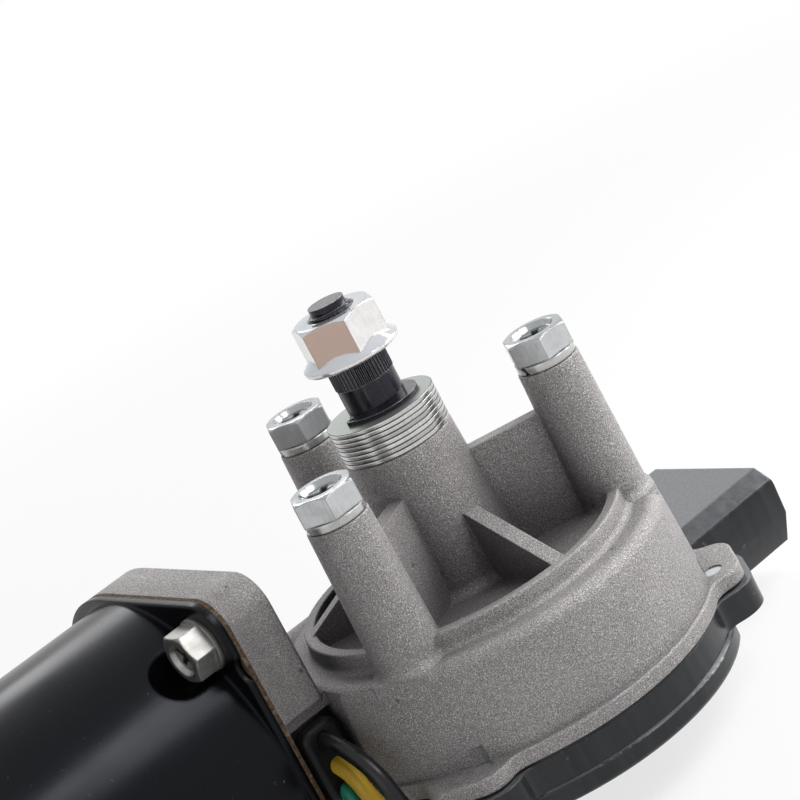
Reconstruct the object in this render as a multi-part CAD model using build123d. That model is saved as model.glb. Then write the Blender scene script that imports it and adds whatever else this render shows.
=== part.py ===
"""Wiper motor: a worm-geared motor that turns a wiper crank, built as separate pieces.

Frame: origin on the output shaft, in the plane of the three post tops; +Z along the shaft, out of
the housing; the motor lies towards -X, with its axis parallel to X. All sizes are in millimetres.
"""
from build123d import *
from math import atan, cos, pi, radians, sin, sqrt, tan
import os

# --- output shaft -------------------------------------------------------------------------------
SHAFT_D = 10.0              # bearing diameter
SHAFT_TOP = 25.6            # end of the dog point
SHAFT_BOTTOM = -39.5
KNURL_D = 10.3
KNURL_DEPTH = 0.35
KNURL_COUNT = 48
KNURL_FROM = 11.7
THREAD_D = 8.0              # M8
THREAD_CHAMFER = 0.5
DOG_POINT_D = 6.2
DOG_POINT_H = 1.3
RUNNING_GAP = 0.04          # radial clearance of a shaft in its bush
END_GAP = 0.1               # axial clearance of a turning face

# --- flange nut (M8) ------------------------------------------------------------------------------
NUT_BOTTOM = 15.9
NUT_HEIGHT = 7.9
NUT_AF = 13.0
NUT_FLANGE_D = 16.6
NUT_RIM = 0.8
NUT_CONE_HEIGHT = 2.5
NUT_TURN = 10.0             # angle of the hexagon about the shaft

# --- washers and snap ring on the tower -------------------------------------------------------------
WASHER_COUNT = 8
WASHER_T = 0.8
WASHER_BORE = 10.4
WASHER_EDGE = 0.1
SNAP_RING_T = 0.7
SNAP_RING_R = 6.6
SNAP_RING_SHIFT = 0.6       # makes the ring widest at its middle
SNAP_RING_TURN = 278.0      # direction of the ring's middle
SNAP_RING_REACH = 95.0      # angle from the middle to each end
SNAP_LUG_R = 0.95
SNAP_LUG_HOLE_R = 0.5
GROOVE_DEPTH = 0.5

# --- gear housing: tower, posts, ring, drum -------------------------------------------------------
TOWER_TOP_D = 18.8          # also the washers' diameter
TOWER_DRAFT = 1.2           # growth of the radius down to the well
TOWER_BORE = 14.0
TOWER_CHAMFER = 0.5
TOWER_FOOT_R = 2.0
POST_CIRCLE_R = 27.3
POST_ANGLES = (90.0, 210.0, 330.0)
POST_TOP_D = 10.6
POST_BASE_D = 11.9
POST_FOOT_R = 1.8
POST_FOOT_SINK = 0.2        # how far the foot's flare runs out under the shoulder
WEB_TOP = -6.7
WEB_T = 3.0
GUSSET_ANGLES = (30.0, 150.0, 270.0)
GUSSET_T = 2.8
GUSSET_TOP = -13.2
RING_TOP = -22.7
RING_OUTER_R = 28.5
RING_T = 2.0
RING_FOOT_R = 1.2
WELL_FLOOR = -25.5
SHOULDER = -26.0
SHOULDER_W = 5.4            # from the ring wall to the drum's edge
SHOULDER_EDGE_R = 2.4
DRUM_DRAFT = 0.9
DRUM_WALL = 2.9
FLANGE_TOP = -43.0
FLANGE_T = 2.5
FLANGE_LEDGE = 1.1          # how far the flange stands out from the drum
CHAMBER_TOP = -28.2

# --- ears and their screws ------------------------------------------------------------------------
EARS = {41.0: 31.0, 139.0: 149.0, 221.0: 213.0, 321.0: 332.0}   # screw's angle: far end's angle
EAR_R = 4.7
EAR_BLEND_R = 4.0
EAR_SCREW_D = 3.6
WITNESS_H = 3.0             # the tapped holes groove the drum's wall this far above the flange
THREAD_GAP = 0.05           # radial clearance of a screw in its tapped hole

# --- motor axis, worm and wheel -------------------------------------------------------------------
MODULE = 1.0
WHEEL_TEETH = 50
WORM_PITCH_R = 4.0
PRESSURE_ANGLE = 20.0
THREAD_BURIED = 0.15        # depth of the thread below the root cylinder
DEDENDUM = 1.25             # in modules; the addendum is 1
FLANK_PLAY = 0.12           # taken off the thickness of each tooth and of the thread
WORM_TURNS = 4              # an even number
WORM_RELIEF = 4.5           # plain root beyond each end of the thread
WHEEL_T = 8.0
WHEEL_HUB_R = 9.0
WHEEL_RIM_R = 20.5
WHEEL_WEB_T = 4.5
WHEEL_RIB_COUNT = 6
WHEEL_RIB_T = 2.0
MOTOR_Z = -33.0

# --- motor flange of the housing ------------------------------------------------------------------
MOTOR_FLANGE_MARGIN = 0.5   # from the can's barrel to the side of the square flange
MOTOR_FLANGE_EAR_R = 6.0    # the two corners that carry the screws
MOTOR_FLANGE_CUT = 5.5      # the other two corners are round, less this
MOTOR_FLANGE_GAP = 0.1      # from the drum to the flange's back
MOTOR_FLANGE_T = 8.3
MOTOR_FLANGE_EDGE_R = 0.8
RECESS_STEP = 3.3           # from the inside of the can to the recess
RECESS_DEPTH = 5.3
CAN_SCREW_INSET = 7.0       # from the flange's sides to the screws
BEARING_BOSS_R = 9.5
BEARING_BOSS_L = 8.0
BEARING_BOSS_TAPER = 6.0
WORM_TUBE_R = 7.0
WORM_BORE_R = 5.6
TUBE_FOOT_HALF = 6.0
TUBE_NOSE_R = 6.6
TUBE_NOSE_END = 24.5
TUBE_NOSE_EDGE_R = 1.6

# --- lead outlet in the flange's side -------------------------------------------------------------
NOTCH_TOP = -26.5
NOTCH_STEP = -28.6          # below this the notch is deep and filled with rubber
NOTCH_BOTTOM = -42.6
NOTCH_SHALLOW = 1.2
NOTCH_DEPTH = 5.0
GROMMET_LIP = 1.8
GROMMET_MARGIN = 0.4
GROMMET_CORNER_R = 2.2

# --- motor can ------------------------------------------------------------------------------------
GASKET_T = 0.8
CAN_R = 29.5
CAN_T = 1.2
CAN_REAR = -112.0           # inside face of the rear wall
CAN_REAR_EDGE_R = 7.0
RIM_NOTCH_R = 2.6           # notch in the rim at the end of each screw ear
RIM_NOTCH_DEPTH = 1.2
RIM_NOTCH_OFFSET = 18.0     # along Z from the motor axis
POCKET_R = 6.0              # pocket pressed into the barrel beside each screw
POCKET_L = 5.0              # length of its straight part
CUP_R = 9.6
CUP_DEPTH = 8.0
CUP_EDGE_R = 1.5
CUP_ROOT_R = 1.2

# --- armature -------------------------------------------------------------------------------------
FRONT_JOURNAL_D = 10.0
ARMATURE_SHAFT_D = 8.0
TIP_JOURNAL_D = 5.0
AIR_GAP = 0.7               # from the core to the magnets
CORE_SPAN = (-98.0, -62.0)
CORE_SLOTS = 10
SLOT_MOUTH = 2.2
SLOT_R = 3.0
SLOT_DEPTH = 5.4            # from the core's outside to the middle of a slot
WINDING_INNER_R = 7.0
WINDING_INSET = 1.2         # the end turns stand in from the core's outside
WINDING_LENGTH = 6.5
WIRE_GAP = 0.15
COMMUTATOR_R = 11.0
COMMUTATOR_SPAN = (-53.0, -41.5)
COMMUTATOR_BARS = 10
BAR_SLOT_W = 0.6
BAR_SLOT_DEPTH = 0.8
MAGNET_T = 6.5
MAGNET_SPAN = (-102.0, -58.0)
MAGNET_ARC = 150.0

# --- bushes ---------------------------------------------------------------------------------------
FRONT_BUSH_R = 8.0
FRONT_BUSH_SPAN = (-36.5, -27.0)
TIP_BUSH_R = 5.0
TIP_BUSH_SPAN = (12.8, 19.5)
TIP_END = 20.2
THRUST_PAD_T = 1.2
REAR_BUSH_SPAN = (-118.0, -112.5)
SEAL_SPAN = (-2.8, -0.3)
UPPER_BUSH_SPAN = (-11.5, -3.0)
LOWER_BUSH_SPAN = (-27.6, -17.0)
THRUST_WASHER_T = 0.7
THRUST_WASHER_R = 9.0

# --- cover and connector --------------------------------------------------------------------------
SEAL_T = 0.6
COVER_INSET = 0.5           # from the flange's edge to the cover's band
COVER_GROOVE_DEPTH = 1.0
COVER_LIP = 0.7             # how far the lip stands out from the band
COVER_BAND_BOTTOM = -48.8
COVER_LIP_TOP = -51.0       # also the bottom of the screw bosses
COVER_BOTTOM = -54.5
COVER_FLOOR = -52.0         # inside face
COVER_SCREW_DEPTH = 2.1     # depth of the counterbores for the screw heads
COVER_GAP = 0.3             # from the cover to the motor flange
BOSS_MARGIN = 1.0           # from the housing's ears to the outside of the cover's bosses
CONNECTOR_END = 58.3
CONNECTOR_TOP = -42.0
CONNECTOR_BOTTOM = -57.0
CONNECTOR_Y = (-7.2, 25.0)
CONNECTOR_BEVEL = 3.2
CONNECTOR_CORNER_R = 2.0
CONNECTOR_BEVEL_R = 1.6
CONNECTOR_BREAK_H = 6.0     # height above the bottom where the -Y side turns in
CONNECTOR_BREAK_W = 0.4     # how far the -Y side leans in down to there
CONNECTOR_TUCK = 3.6        # how far that side stands in at the bottom
CONNECTOR_WALL = 2.0
CONNECTOR_CLEARANCE = 0.7   # from the housing's flange to the raised part
SOCKET_DEPTH = 15.0
TERMINAL_COUNT = 5
TERMINAL_PITCH = 5.0
TERMINAL_W = 2.8
TERMINAL_T = 0.8
TERMINAL_OUT = 11.0
TERMINAL_ROOT_L = 4.0       # held in the socket's back wall

# --- park switch ----------------------------------------------------------------------------------
DISC_T = 0.6
DISC_INNER_R = 8.0
DISC_OUTER_R = 19.0
DISC_NOTCH_ARC = 40.0
DISC_TRACK_R = 15.0         # the notch ends at this track
CONTACT_RADII = (10.5, 13.5, 16.5)
CONTACT_PITCH = 5.5
CONTACT_T = 0.4
CONTACT_W = 2.0
CONTACT_TIP = 1.5           # half the length of a finger's raised tip
CONTACT_INSET = 0.5         # from the carrier's ends to a finger's root
CARRIER_TOP = -42.5
CARRIER_X = (-21.0, -15.0)
CARRIER_MARGIN = 3.0        # from the outer fingers to the carrier's ends

# --- bolts, screws, washers -----------------------------------------------------------------------
BOLT_D = 6.0
BOLT_AF = 10.0
BOLT_HEAD_H = 4.2
BOLT_LENGTH = 16.0
BOLT_DISH_DEPTH = 0.9
BOLT_DISH_SHARE = 0.38      # radius of the dish, as a share of the width across flats
BOLT_CROSS_SHARE = 0.52     # size of the cross recess, as a share of the same
BOLT_CROSS_DEPTH = 1.6
SPRING_WASHER_T = 1.6
SPRING_WASHER_D = 10.2
SPRING_WASHER_BORE = 6.2
SPRING_WASHER_GAP = 1.0
SPRING_WASHER_SLANT = 30.0
CAN_SCREW_D = 5.0
CAN_SCREW_AF = 8.0
CAN_SCREW_HEAD_H = 4.9
CAN_SCREW_COLLAR_D = 9.6
CAN_SCREW_COLLAR_T = 0.8
CAN_SCREW_LENGTH = 9.0
COVER_SCREW_AF = 7.0
COVER_SCREW_HEAD_H = 1.9
COVER_SCREW_POCKET_R = 4.4
SCREW_CLEARANCE = 0.25      # radial clearance of a screw in a through hole

# --- brush gear -----------------------------------------------------------------------------------
BRUSH_PLATE_T = 2.4
BRUSH_PLATE_BORE_R = 12.5
BRUSH_ANGLES = {"common_brush": 90.0, "low_speed_brush": 270.0, "high_speed_brush": 215.0}
BRUSH_W = 5.0
BRUSH_L = 6.0               # along the motor axis
BRUSH_BOX_WALL = 0.9
BRUSH_BOX_INSET = 1.5       # from the recess to the end of each box
BRUSH_BOX_END_T = 1.0
BRUSH_SPRING_L = 4.5
BRUSH_SPRING_R = 2.0
BRUSH_SPRING_BORE_R = 1.3

# --- leads ----------------------------------------------------------------------------------------
LEAD_D = 2.8
LEAD_ROUTES = {
    "lead_black": ((-38.3, 3.4, -31.0), (-38.3, -2.2, -31.5), (-38.3, -8.4, -33.3),
                   (-38.3, -13.5, -37.2), (-38.2, -15.2, -42.8), (-36.6, -15.2, -47.6),
                   (-32.8, -13.9, -50.4), (-28.9, -12.4, -50.8)),
    "lead_yellow": ((-38.3, 3.4, -35.5), (-38.4, -1.6, -36.0), (-38.5, -5.9, -37.9),
                    (-38.5, -7.9, -42.3), (-37.4, -8.7, -46.9), (-33.8, -8.7, -49.7),
                    (-30.2, -8.0, -50.1)),
    "lead_green": ((-38.5, 2.8, -39.5), (-39.0, -1.5, -40.0), (-39.4, -4.3, -42.6),
                   (-39.2, -4.9, -46.4), (-36.8, -4.6, -49.7), (-32.4, -4.3, -50.3)),
}

# --- places worked out from the sizes above ---------------------------------------------------------
WHEEL_PITCH_R = MODULE * WHEEL_TEETH / 2
MOTOR_Y = WHEEL_PITCH_R + WORM_PITCH_R
LEAD = pi * MODULE
RING_INNER_R = RING_OUTER_R - RING_T
DRUM_TOP_R = RING_OUTER_R + SHOULDER_W
DRUM_BOTTOM_R = DRUM_TOP_R + DRUM_DRAFT
CHAMBER_R = DRUM_TOP_R - DRUM_WALL
FLANGE_R = DRUM_BOTTOM_R + FLANGE_LEDGE     # also the circle of the ears' screws
COVER_BAND_R = FLANGE_R - COVER_INSET
COVER_LIP_R = COVER_BAND_R + COVER_LIP
COVER_SCREW_SEAT = COVER_LIP_TOP + COVER_SCREW_DEPTH
MOTOR_FLANGE_BACK = -(DRUM_TOP_R + MOTOR_FLANGE_GAP)
MOTOR_FLANGE_HALF = CAN_R + MOTOR_FLANGE_MARGIN
CAN_SCREW_OFFSET = MOTOR_FLANGE_HALF - CAN_SCREW_INSET
CAN_BORE_R = CAN_R - CAN_T
RECESS_R = CAN_BORE_R - RECESS_STEP
MAGNET_INNER_R = CAN_BORE_R - MAGNET_T
CORE_R = MAGNET_INNER_R - AIR_GAP
SLOT_CIRCLE_R = CORE_R - SLOT_DEPTH
BRUSH_BOX_END_R = RECESS_R - BRUSH_BOX_INSET
BRUSH_OUTER_R = BRUSH_BOX_END_R - BRUSH_BOX_END_T - BRUSH_SPRING_L
FLANGE_BOTTOM = FLANGE_TOP - FLANGE_T
COVER_TOP = FLANGE_BOTTOM - SEAL_T
GASKET_FACE = MOTOR_FLANGE_BACK - MOTOR_FLANGE_T
CAN_FACE = GASKET_FACE - GASKET_T
RECESS_FLOOR = GASKET_FACE + RECESS_DEPTH
WASHER_TOP = WASHER_COUNT * WASHER_T
SNAP_RING_BOTTOM = WASHER_TOP + END_GAP
THRUST_WASHER_BOTTOM = CHAMBER_TOP - THRUST_WASHER_T
WHEEL_TOP = MOTOR_Z + WHEEL_T / 2
WHEEL_BOTTOM = MOTOR_Z - WHEEL_T / 2
DISC_BOTTOM = WHEEL_BOTTOM - DISC_T
CONNECTOR_MID_Y = (CONNECTOR_Y[0] + CONNECTOR_Y[1]) / 2
CONNECTOR_MID_Z = (CONNECTOR_TOP + CONNECTOR_BOTTOM) / 2

# Local Z runs along the motor axis towards +X, local X is the part's Y and local Y the part's Z.
MOTOR = Plane(origin=(0, MOTOR_Y, MOTOR_Z), x_dir=(0, 1, 0), z_dir=(1, 0, 0))


# --- helpers --------------------------------------------------------------------------------------
def outline(*points):
    """Face inside a closed outline; a point is (u, v) or (u, v, corner radius)."""
    face = make_face(Polyline(*[point[:2] for point in points], close=True))
    for point in points:
        if len(point) == 3:
            corner = face.vertices().sort_by_distance((point[0], point[1], 0))[0]
            face = fillet(corner, point[2])
    return face


def turned(*points):
    """Solid of revolution about Z from an outline of (radius, z) points."""
    return revolve(Plane.XZ * outline(*points), Axis.Z)


def disc(radius, low, high, bore=0.0):
    """Round disc or ring about Z between two heights."""
    middle = Pos(0, 0, (low + high) / 2)
    solid = middle * Cylinder(radius, high - low)
    if bore:
        solid -= middle * Cylinder(bore, high - low)
    return solid


def block(x, y, z):
    """Box between pairs of coordinates."""
    middle = Pos(sum(x) / 2, sum(y) / 2, sum(z) / 2)
    return middle * Box(abs(x[1] - x[0]), abs(y[1] - y[0]), abs(z[1] - z[0]))


def polar(radius, angle, z=0.0):
    """Place at a radius and an angle about Z."""
    return Pos(radius * cos(radians(angle)), radius * sin(radians(angle)), z)


def radial_plate(angle, thickness, *points):
    """Upright plate in the radial plane at an angle, from an outline of (radius, z) points."""
    return Rot(0, 0, angle) * extrude(Plane.XZ * outline(*points), thickness / 2, both=True)


def hexagon_head(across_flats, low, high):
    """Hexagonal prism whose top corners are turned down to a cone."""
    corner_r = across_flats / sqrt(3)
    flat_r = across_flats / 2
    drop = (corner_r - flat_r) * 0.8
    prism = Pos(0, 0, low) * extrude(RegularPolygon(corner_r, 6), high - low)
    crown = turned((0, low), (corner_r + 0.2, low), (corner_r + 0.2, high - drop),
                   (flat_r - 0.1, high), (0, high))
    return prism & crown


def cross_recess(size, depth, top):
    """Tool for a cross recess that opens upwards at a height."""
    width = size * 0.24
    bar = block((-size / 2, size / 2), (-width / 2, width / 2), (top - depth, top + depth))
    return bar + Rot(0, 0, 90) * bar


def degrees_of(angle):
    """An angle in radians, as degrees."""
    return angle * 180 / pi


def twisted(face, height, angle):
    """Face extruded along +Z while it turns by an angle in degrees."""
    return Solid.extrude_linear_with_rotation(face.face(), (0, 0, 0), (0, 0, height), angle)


def one_solid(shape):
    """The shape's largest solid, as a plain solid."""
    return shape.solids().sort_by(SortBy.VOLUME)[-1]


# --- gear housing ---------------------------------------------------------------------------------
def housing_drum():
    """Tower, well, ring wall and drum, turned about the output shaft."""
    return turned(
        (0, 0),
        (TOWER_TOP_D / 2, 0, TOWER_CHAMFER),
        (TOWER_TOP_D / 2 + TOWER_DRAFT, WELL_FLOOR, TOWER_FOOT_R),
        (RING_INNER_R - 0.3, WELL_FLOOR, 0.6),
        (RING_INNER_R, RING_TOP, 0.3),
        (RING_OUTER_R, RING_TOP, 0.4),
        (RING_OUTER_R + 0.3, SHOULDER, RING_FOOT_R),
        (DRUM_TOP_R, SHOULDER, SHOULDER_EDGE_R),
        (DRUM_BOTTOM_R, FLANGE_TOP),
        (DRUM_BOTTOM_R, FLANGE_BOTTOM),
        (0, FLANGE_BOTTOM),
    )


def housing_post(angle):
    """Tapered post with a flared foot, kept inside the drum's outline."""
    foot = POST_BASE_D / 2
    flare = foot + POST_FOOT_R + POST_FOOT_SINK
    level = SHOULDER - POST_FOOT_SINK
    post = turned((0, 0), (POST_TOP_D / 2, 0, 0.4), (foot, level, POST_FOOT_R),
                  (flare, level), (flare, CHAMBER_TOP), (0, CHAMBER_TOP))
    return polar(POST_CIRCLE_R, angle) * post & disc(DRUM_TOP_R, CHAMBER_TOP, 1)


def housing_web(angle):
    """Web with a level top between the tower and a post."""
    inner = TOWER_BORE / 2 + 1
    return radial_plate(angle, WEB_T, (inner, WEB_TOP), (POST_CIRCLE_R - POST_TOP_D / 4, WEB_TOP),
                        (POST_CIRCLE_R - POST_TOP_D / 4, SHOULDER), (inner, SHOULDER))


def housing_gusset(angle):
    """Gusset that slopes from the tower down to the ring wall."""
    inner = TOWER_BORE / 2 + 1
    outer = (RING_INNER_R + RING_OUTER_R) / 2
    return radial_plate(angle, GUSSET_T, (inner, GUSSET_TOP), (TOWER_TOP_D / 2 + 1, GUSSET_TOP - 0.2, 1.5),
                        (outer, RING_TOP - 0.2), (outer, SHOULDER), (inner, SHOULDER))


def ear_outline(angle, far_angle, margin=0.0):
    """Screw ear: a lobe on the flange's edge, from its screw's angle to a far angle."""
    ends = [polar(FLANGE_R, end_angle) * Circle(EAR_R + margin) for end_angle in (angle, far_angle)]
    return make_hull((ends[0] + ends[1]).edges())


def eared_plate(radius, margin, low, high):
    """Round plate with the four ears, blended where they leave its edge."""
    face = Circle(radius)
    for angle, far_angle in EARS.items():
        face += ear_outline(angle, far_angle, margin)
    inner_corners = [corner for corner in face.vertices() if corner.center().length < radius + 0.01]
    face = fillet(inner_corners, EAR_BLEND_R)
    return Pos(0, 0, low) * extrude(face, high - low)


def ear_places(radius, low, high):
    """Round pegs at the ears' screws, as one tool."""
    peg = disc(radius, low, high)
    pegs = [polar(FLANGE_R, angle) * peg for angle in EARS]
    return pegs[0] + pegs[1:]


def housing_flange():
    """Flange that the cover is screwed to, with a softened upper edge."""
    plate = eared_plate(FLANGE_R, 0.0, FLANGE_BOTTOM, FLANGE_TOP)
    return fillet(plate.edges().group_by(Axis.Z)[-1], 0.4)


def motor_flange_outline():
    """Square flange with two tight corners for the screws and two wide ones."""
    half = MOTOR_FLANGE_HALF
    tight = MOTOR_FLANGE_EAR_R
    wide = half - MOTOR_FLANGE_CUT
    return outline((-half, half, tight), (half, half, wide), (half, -half, tight), (-half, -half, wide))


def housing_motor_side():
    """Motor flange, bearing boss and worm tube, before their bores are cut."""
    flange = extrude(motor_flange_outline(), MOTOR_FLANGE_T)
    flange = fillet(flange.edges().group_by(Axis.Z)[-1], MOTOR_FLANGE_EDGE_R)
    body = MOTOR * Pos(0, 0, GASKET_FACE) * flange
    boss_end = MOTOR_FLANGE_BACK + BEARING_BOSS_L
    tube_end = TIP_BUSH_SPAN[0]
    body += MOTOR * turned((0, GASKET_FACE + 1), (BEARING_BOSS_R, GASKET_FACE + 1), (BEARING_BOSS_R, boss_end),
                           (WORM_TUBE_R, boss_end + BEARING_BOSS_TAPER), (WORM_TUBE_R, tube_end),
                           (TUBE_NOSE_R, tube_end + 1), (TUBE_NOSE_R, TUBE_NOSE_END, TUBE_NOSE_EDGE_R),
                           (0, TUBE_NOSE_END))
    foot = block((GASKET_FACE + 1, 0), (MOTOR_Y - TUBE_FOOT_HALF, MOTOR_Y + TUBE_FOOT_HALF),
                 (FLANGE_TOP, MOTOR_Z))
    return body + foot


def housing_cavities():
    """Everything that is bored or cored out of the housing."""
    chamber = disc(CHAMBER_R, FLANGE_BOTTOM - 1, CHAMBER_TOP)
    tower_bore = disc(TOWER_BORE / 2, CHAMBER_TOP - 1, 1)
    worm_bore = MOTOR * disc(WORM_BORE_R, FRONT_BUSH_SPAN[1], TIP_BUSH_SPAN[0])
    tip_bore = MOTOR * disc(TIP_BUSH_R, TIP_BUSH_SPAN[0] - 1, TIP_END + END_GAP + THRUST_PAD_T)
    bush_seat = MOTOR * disc(FRONT_BUSH_R, RECESS_FLOOR - 1, FRONT_BUSH_SPAN[1])
    recess = MOTOR * disc(RECESS_R, GASKET_FACE - 1, RECESS_FLOOR)
    cavities = chamber + tower_bore + worm_bore + tip_bore + bush_seat + recess
    for angle in POST_ANGLES:
        cavities += polar(POST_CIRCLE_R, angle) * disc(BOLT_D / 2 + THREAD_GAP, -BOLT_LENGTH - 1, 1)
    cavities += ear_places(EAR_SCREW_D / 2 + THREAD_GAP, FLANGE_BOTTOM - 1, FLANGE_TOP + WITNESS_H)
    for hole in can_screw_holes(CAN_SCREW_D / 2 + THREAD_GAP, GASKET_FACE - 1, MOTOR_FLANGE_BACK + 1):
        cavities += MOTOR * hole
    return cavities + lead_notch()


def lead_notch():
    """Stepped slot in the -Y side of the motor flange, where the leads come out."""
    side = MOTOR_Y - MOTOR_FLANGE_HALF
    outside = side - 2 * GROMMET_LIP
    x = (GASKET_FACE - 1, MOTOR_FLANGE_BACK + 1)
    return (block(x, (outside, side + NOTCH_SHALLOW), (NOTCH_BOTTOM, NOTCH_TOP))
            + block(x, (outside, side + NOTCH_DEPTH), (NOTCH_BOTTOM, NOTCH_STEP)))


def gear_housing():
    body = housing_drum()
    for angle in POST_ANGLES:
        body += housing_post(angle)
        body += housing_web(angle)
    for angle in GUSSET_ANGLES:
        body += housing_gusset(angle)
    body += housing_flange()
    body += housing_motor_side()
    return one_solid(body - housing_cavities())


# --- output shaft and what turns with it ----------------------------------------------------------
def knurl():
    """Straight knurl: a ring of V ridges along the shaft."""
    points = []
    for index in range(2 * KNURL_COUNT):
        radius = KNURL_D / 2 if index % 2 else KNURL_D / 2 - KNURL_DEPTH
        angle = pi * index / KNURL_COUNT
        points.append((radius * cos(angle), radius * sin(angle)))
    return Pos(0, 0, KNURL_FROM) * extrude(outline(*points), NUT_BOTTOM - KNURL_FROM)


def output_shaft():
    radius = SHAFT_D / 2
    body = disc(radius, SHAFT_BOTTOM, KNURL_FROM)
    body = chamfer(body.edges().sort_by(Axis.Z)[0], 0.8)
    thread_r = THREAD_D / 2
    thread_end = SHAFT_TOP - DOG_POINT_H
    body += knurl()
    body += turned((0, KNURL_FROM), (thread_r, KNURL_FROM), (thread_r, thread_end - THREAD_CHAMFER),
                   (thread_r - THREAD_CHAMFER, thread_end), (DOG_POINT_D / 2, thread_end),
                   (DOG_POINT_D / 2, SHAFT_TOP), (0, SHAFT_TOP))
    body -= disc(radius + 1, SNAP_RING_BOTTOM, SNAP_RING_BOTTOM + SNAP_RING_T, radius - GROOVE_DEPTH)
    return one_solid(body)


def flange_nut():
    top = NUT_BOTTOM + NUT_HEIGHT
    rim = NUT_BOTTOM + NUT_RIM
    flange_r = NUT_FLANGE_D / 2
    body = Rot(0, 0, NUT_TURN) * hexagon_head(NUT_AF, rim, top)
    body += turned((0, NUT_BOTTOM), (flange_r - 0.3, NUT_BOTTOM), (flange_r, NUT_BOTTOM + 0.3),
                   (flange_r, rim), (NUT_AF / 2 - 0.2, NUT_BOTTOM + NUT_CONE_HEIGHT), (0, top - 1))
    body -= disc(THREAD_D / 2, NUT_BOTTOM - 1, top + 1)
    return one_solid(body)


def snap_ring():
    """Open ring in the shaft's groove, widest at its middle, with a holed lug at each end."""
    high = SNAP_RING_BOTTOM + SNAP_RING_T
    lug_r = SHAFT_D / 2 - 0.05 + SNAP_LUG_R
    ring = Pos(SNAP_RING_SHIFT, 0) * disc(SNAP_RING_R, SNAP_RING_BOTTOM, high)
    ring -= disc(SHAFT_D / 2 - GROOVE_DEPTH, SNAP_RING_BOTTOM - 1, high + 1)
    reach = 2 * SNAP_RING_R
    open_side = lug_r * cos(radians(SNAP_RING_REACH))
    ring -= block((-reach, open_side), (-reach, reach), (SNAP_RING_BOTTOM - 1, high + 1))
    for side in (-1, 1):
        place = polar(lug_r, side * SNAP_RING_REACH)
        ring += place * disc(SNAP_LUG_R, SNAP_RING_BOTTOM, high)
        ring -= place * disc(SNAP_LUG_HOLE_R, SNAP_RING_BOTTOM - 1, high + 1)
    return one_solid(Rot(0, 0, SNAP_RING_TURN) * ring)


def tooth_half_angle(radius):
    """Half the angle that a wheel tooth fills at a radius, for an involute flank."""
    def involute(r):
        base = WHEEL_PITCH_R * cos(radians(PRESSURE_ANGLE))
        ratio = sqrt(max((r / base) ** 2 - 1, 0))
        return ratio - atan(ratio)
    pitch_half = (pi * MODULE / 2 - FLANK_PLAY) / (2 * WHEEL_PITCH_R)
    return pitch_half + involute(WHEEL_PITCH_R) - involute(radius)


def wheel_outline():
    """Transverse outline of the wheel; each flank passes through root, pitch and tip points."""
    radii = (WHEEL_PITCH_R - DEDENDUM * MODULE, WHEEL_PITCH_R, WHEEL_PITCH_R + MODULE)
    points = []
    for tooth in range(WHEEL_TEETH):
        middle = 2 * pi * tooth / WHEEL_TEETH
        for side, order in ((-1, radii), (1, radii[::-1])):
            for radius in order:
                angle = middle + side * tooth_half_angle(radius)
                points.append((radius * cos(angle), radius * sin(angle)))
    return outline(*points)


def worm_wheel():
    """Helical wheel whose teeth lean with the worm's lead angle."""
    lean = degrees_of(WHEEL_T * MODULE / (2 * WORM_PITCH_R) / WHEEL_PITCH_R)
    gear = twisted(wheel_outline(), WHEEL_T, lean)
    body = Pos(0, 0, WHEEL_BOTTOM) * Rot(0, 0, -lean / 2) * gear
    hollow = disc(WHEEL_RIM_R, WHEEL_BOTTOM + WHEEL_WEB_T, WHEEL_TOP + 1, WHEEL_HUB_R)
    for index in range(WHEEL_RIB_COUNT):
        rib = block((0, WHEEL_RIM_R + 1), (-WHEEL_RIB_T / 2, WHEEL_RIB_T / 2),
                    (WHEEL_BOTTOM, WHEEL_TOP - 0.8))
        hollow -= Rot(0, 0, 360 * index / WHEEL_RIB_COUNT) * rib
    body -= hollow
    return one_solid(body - disc(SHAFT_D / 2, WHEEL_BOTTOM - 1, WHEEL_TOP + 1))


def contact_disc():
    """Park-switch disc under the wheel, with the notch that stops the motor."""
    notch = DISC_NOTCH_ARC / 2
    ring = disc(DISC_OUTER_R, DISC_BOTTOM, WHEEL_BOTTOM, DISC_INNER_R)
    reach = DISC_OUTER_R + 1
    wedge = make_face(Polyline((0, 0), (reach * 1.1, -reach * tan(radians(notch)) * 1.1),
                               (reach * 1.1, reach * tan(radians(notch)) * 1.1), close=True))
    cut = Pos(0, 0, DISC_BOTTOM - 1) * extrude(wedge, DISC_T + 2)
    cut -= disc(DISC_TRACK_R, DISC_BOTTOM - 2, DISC_BOTTOM + 3)
    return one_solid(ring - cut)


# --- armature -------------------------------------------------------------------------------------
def worm():
    """Single-start thread swept along its helix, on its root cylinder, centred on Z = 0."""
    half = WORM_TURNS * LEAD / 2
    tip = WORM_PITCH_R + MODULE
    root = WORM_PITCH_R - DEDENDUM * MODULE
    buried = root - THREAD_BURIED

    def half_width(radius):
        axial = pi * MODULE / 2 - FLANK_PLAY
        return axial / 2 - (radius - WORM_PITCH_R) * tan(radians(PRESSURE_ANGLE))

    profile = outline((buried, -half_width(buried)), (tip, -half_width(tip)),
                      (tip, half_width(tip)), (buried, half_width(buried)))
    path = Helix(pitch=LEAD, height=2 * half, radius=WORM_PITCH_R)
    thread = Solid.sweep((Plane.XZ * profile).face(), path, is_frenet=True)
    core = disc(root, -half - WORM_RELIEF, half + WORM_RELIEF)
    return core + Rot(0, 0, 180) * Pos(0, 0, -half) * thread


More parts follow.
